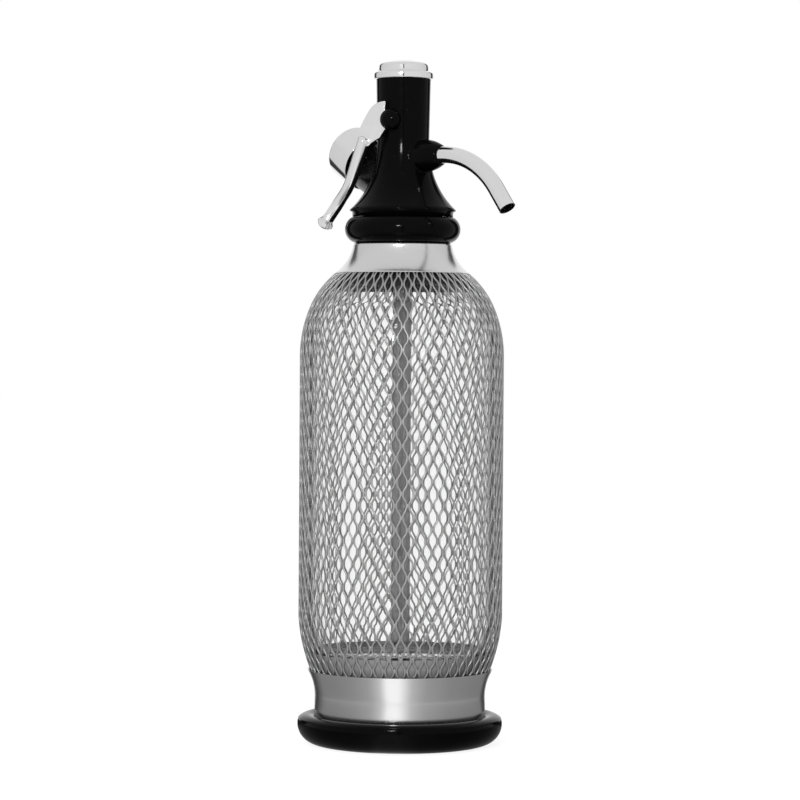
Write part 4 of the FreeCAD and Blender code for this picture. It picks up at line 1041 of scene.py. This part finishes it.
# ---- studio
@dataclass
class Studio:
    """The camera, the room that the pieces reflect, the lamps and the floor.

    Attributes:
        walls: The room's greys as (degrees round from the camera, grey).
        painted_floor_greys: The same for the floor close to the object, painted darker than the room as shade,
            with a painted pool of light straight in front that the bright band shows as its highlight.
        ceiling_from: The Z of a direction at which the walls start to give way to the ceiling.
        shade_fade_from: How far out the painted shade on the floor near the object starts to fade into the
            room's greys, in metres.
        glow: The share of the floor that shines by itself.
        lamps: Each lamp, as the arguments of lamp().
    """

    azimuth: float = 42.0
    distance: float = 1.47
    height: float = 0.1945
    pitch: float = 1.02
    roll: float = 0.36
    aside: float = -0.0008
    focal_pixels: float = 3000.0
    picture_pixels: float = 800.0
    sensor: float = 36.0
    nearest: float = 0.05
    farthest: float = 50.0
    ceiling: float = 0.8
    ceiling_from: float = 0.42
    ceiling_to: float = 0.62
    shade_fade_from: float = 0.17
    shade_fade_to: float = 0.50
    floor_radius: float = 9.0
    floor_sides: int = 96
    floor_level: float = -0.0002
    floor_grey: float = 0.9
    glow: float = 0.82
    glow_strength: float = 1.08
    lamp_aim: float = 0.2
    lamps: tuple[tuple[str, float, float, float, float, float, bool], ...] = (
        ("key", -14.0, 1.8, 1.05, 0.25, 14.0, False), ("glint", -9.0, 1.92, 0.75, 0.17, 14.0, True),
        ("overhead", 0.0, 0.3, 1.9, 1.2, 8.0, False), ("left_side", -70.0, 1.4, 1.5, 0.3, 5.0, False),
    )
    walls: tuple[Point, ...] = (
        (-180, 1.0), (-151, 1.0), (-148, 0.04), (-131, 0.04), (-128, 0.72), (-60, 0.80), (-3.2, 0.85),
        (-2.0, 0.10), (1.6, 0.10), (2.8, 0.85), (60, 0.82), (128, 0.72), (131, 0.04), (148, 0.04),
        (151, 1.0), (180, 1.0),
    )
    # Painted shade and light: close to the object the floor is darker than the room, with a painted pool of
    # light from -14 to -1 degrees.
    painted_floor_greys: tuple[Point, ...] = (
        (-180, 1.0), (-153, 1.0), (-148, 0.05), (-132, 0.05), (-107, 0.26), (-78, 0.28), (-54, 0.33),
        (-33, 0.43), (-20, 0.70), (-14, 1.3), (-1, 1.3), (12, 0.62), (28, 0.41), (57, 0.31), (91, 0.27),
        (125, 0.24), (132, 0.05), (148, 0.05), (153, 1.0), (180, 1.0),
    )

    def build(self) -> None:
        """Set the whole studio."""
        self.camera()
        self.world()
        for lamp in self.lamps:
            self.lamp(*lamp)
        self.floor()
        bpy.context.scene.view_settings.view_transform = "Standard"

    def toward(self, turn: float, distance: float, height: float) -> Vector:
        """A place round the object, counted from the camera.

        Args:
            turn: Degrees to the camera's right.
            distance: Metres from the axis.
            height: Metres above the ground.

        Returns:
            The place.
        """
        angle = math.radians(self.azimuth + turn)
        return Vector((distance * math.sin(angle), -distance * math.cos(angle), height))

    def camera(self) -> None:
        """Make the camera and aim it."""
        lens = bpy.data.cameras.new("camera")
        lens.sensor_width = self.sensor
        lens.lens = self.focal_pixels / self.picture_pixels * self.sensor
        lens.clip_start, lens.clip_end = self.nearest, self.farthest
        eye = placed("camera", lens)
        turn = Matrix.Rotation(math.radians(self.azimuth), 4, "Z")
        tilt = Matrix.Rotation(math.radians(90.0 - self.pitch), 4, "X")
        lean = Matrix.Rotation(math.radians(self.roll), 4, "Z")
        spot = self.toward(0.0, self.distance, self.height) + self.toward(90.0, self.aside, 0.0)
        eye.matrix_world = Matrix.Translation(spot) @ turn @ tilt @ lean
        bpy.context.scene.camera = eye

    def room_tone(self) -> bpy.types.NodeTree:
        """The room's greys by direction: the walls, the light above, and the floor near the object, which is
        painted darker as shade and holds a painted pool of light in front.

        Returns:
            The node group, with input Direction and outputs Room and Floor.
        """
        group = bpy.data.node_groups.new("room_tone", "ShaderNodeTree")
        group.interface.new_socket(name="Direction", in_out="INPUT", socket_type="NodeSocketVector")
        for name in ("Room", "Floor"):
            group.interface.new_socket(name=name, in_out="OUTPUT", socket_type="NodeSocketColor")
        tree = Tree(group)
        given = tree.add("NodeGroupInput")
        parts = []
        for turn in (90.0, 0.0):
            part = tree.add("ShaderNodeVectorMath", operation="DOT_PRODUCT")
            tree.link(given.outputs["Direction"], part.inputs[0])
            part.inputs[1].default_value = self.toward(turn, 1.0, 0.0)
            parts.append(part.outputs["Value"])
        around = tree.math("MULTIPLY_ADD", tree.math("ARCTAN2", *parts), 0.5 / math.pi, 0.5)
        # The second ramp holds painted shade: the floor close to the object is darker than the room, with a
        # painted pool of light in front.
        walls, near = tree.add("ShaderNodeValToRGB"), tree.add("ShaderNodeValToRGB")
        self.stops(walls.color_ramp, self.walls)
        self.stops(near.color_ramp, self.painted_floor_greys)
        for ramp in (walls, near):
            tree.link(around, ramp.inputs[0])
        split = tree.feed("ShaderNodeSeparateXYZ", Vector=given.outputs["Direction"])
        high = tree.feed(
            tree.add("ShaderNodeMapRange", interpolation_type="SMOOTHSTEP"),
            Value=split.outputs["Z"], From_Min=self.ceiling_from, From_Max=self.ceiling_to,
        )
        room = tree.mix(high.outputs["Result"], walls.outputs["Color"], (self.ceiling,) * 3 + (1.0,))
        tree.feed("NodeGroupOutput", Room=room, Floor=near.outputs["Color"])
        return group

    @staticmethod
    def stops(ramp: bpy.types.ColorRamp, greys: tuple[Point, ...]) -> None:
        """Set a ramp's greys.

        Args:
            ramp: The ramp.
            greys: (degrees round from the camera, grey) for each stop, in order.
        """
        while len(ramp.elements) > 1:
            ramp.elements.remove(ramp.elements[-1])
        ramp.elements[0].position = greys[0][0] / 360 + 0.5
        ramp.elements[0].color = (greys[0][1],) * 3 + (1.0,)
        for turn, grey in greys[1:]:
            ramp.elements.new(turn / 360 + 0.5).color = (grey,) * 3 + (1.0,)

    def world(self) -> None:
        """The room: white to the eye, and the shaded studio to every other ray."""
        room = bpy.data.worlds.new("studio")
        bpy.context.scene.world = room
        room.use_nodes = True
        tree = Tree(room.node_tree)
        room.node_tree.nodes.clear()
        ray = tree.add("ShaderNodeLightPath")
        place = tree.add("ShaderNodeTexCoord")
        tone = tree.feed(
            tree.add("ShaderNodeGroup", node_tree=self.room_tone()), Direction=place.outputs["Generated"])
        seen = tree.mix(ray.outputs["Is Camera Ray"], tone.outputs["Room"], WHITE)
        light = tree.feed("ShaderNodeBackground", Color=seen, Strength=1.0)
        tree.feed("ShaderNodeOutputWorld", Surface=light.outputs[0])

    def lamp(self, name: str, turn: float, distance: float, height: float, width: float, power: float,
             mirrored: bool) -> None:
        """Hang one soft square lamp that looks at the object.

        Args:
            name: Its name.
            turn: Degrees to the camera's right.
            distance: Metres from the axis.
            height: Metres above the ground.
            width: Its width in metres.
            power: Its power in watts.
            mirrored: Whether shiny pieces reflect it.
        """
        light = bpy.data.lights.new(name, "AREA")
        light.shape = "RECTANGLE"
        light.size = light.size_y = width
        light.energy = power
        hung = placed(name, light)
        hung.visible_glossy = mirrored
        spot = self.toward(turn, distance, height)
        way = Vector((0.0, 0.0, self.lamp_aim)) - spot
        hung.matrix_world = Matrix.Translation(spot) @ way.to_track_quat("-Z", "Y").to_matrix().to_4x4()

    def floor(self) -> None:
        """Lay the pale floor, white to the eye with the object's soft shadow on it. To every other ray it glows
        with the room's greys, with painted shade close to the object and a painted pool of light in front.
        """
        shape = bmesh.new()
        bmesh.ops.create_circle(shape, cap_ends=True, segments=self.floor_sides, radius=self.floor_radius)
        mesh = bpy.data.meshes.new("floor")
        shape.to_mesh(mesh)
        shape.free()
        ground = placed("floor", mesh)
        ground.location.z = self.floor_level
        paint = bpy.data.materials.new("floor")
        paint.use_nodes = True
        tree = Tree(paint.node_tree)
        paint.node_tree.nodes.clear()
        ray = tree.add("ShaderNodeLightPath")
        place = tree.add("ShaderNodeTexCoord")
        tone = tree.feed(
            tree.add("ShaderNodeGroup", node_tree=bpy.data.node_groups["room_tone"]),
            Direction=place.outputs["Object"],
        )
        reach = tree.add("ShaderNodeVectorMath", operation="LENGTH")
        tree.link(place.outputs["Object"], reach.inputs[0])
        away = tree.feed(
            tree.add("ShaderNodeMapRange", interpolation_type="SMOOTHSTEP"),
            Value=reach.outputs["Value"], From_Min=self.shade_fade_from, From_Max=self.shade_fade_to,
        )
        # Painted shade and light: every ray but the camera's sees the floor glow, darker close to the object,
        # with a painted pool of light in front, fading out to the room's greys.
        painted_floor_tone = tree.mix(away.outputs["Result"], tone.outputs["Floor"], tone.outputs["Room"])
        mirrored = tree.feed("ShaderNodeEmission", Color=painted_floor_tone, Strength=1.0)
        matt = tree.feed("ShaderNodeBsdfDiffuse", Color=(self.floor_grey,) * 3 + (1.0,))
        glow = tree.feed("ShaderNodeEmission", Color=WHITE, Strength=self.glow_strength)
        pale, blend = tree.add("ShaderNodeMixShader"), tree.add("ShaderNodeMixShader")
        for node, sources in (
            (pale, (self.glow, matt.outputs[0], glow.outputs[0])),
            (blend, (ray.outputs["Is Camera Ray"], mirrored.outputs[0], pale.outputs[0])),
        ):
            for index, source in enumerate(sources):
                tree.link(source, node.inputs[index])
        tree.feed("ShaderNodeOutputMaterial", Surface=blend.outputs[0])
        ground.data.materials.append(paint)


def main() -> None:
    """Build the siphon's dressed assemblies and the studio."""
    logging.basicConfig(level=logging.INFO, format="%(name)s: %(message)s")
    for assembly in (Foot(), Bottle(), WireJacket(), Neck(), Head(), Inside(), Studio()):
        LOG.info("building %s", type(assembly).__name__)
        assembly.build()


if __name__ == "__main__":
    main()
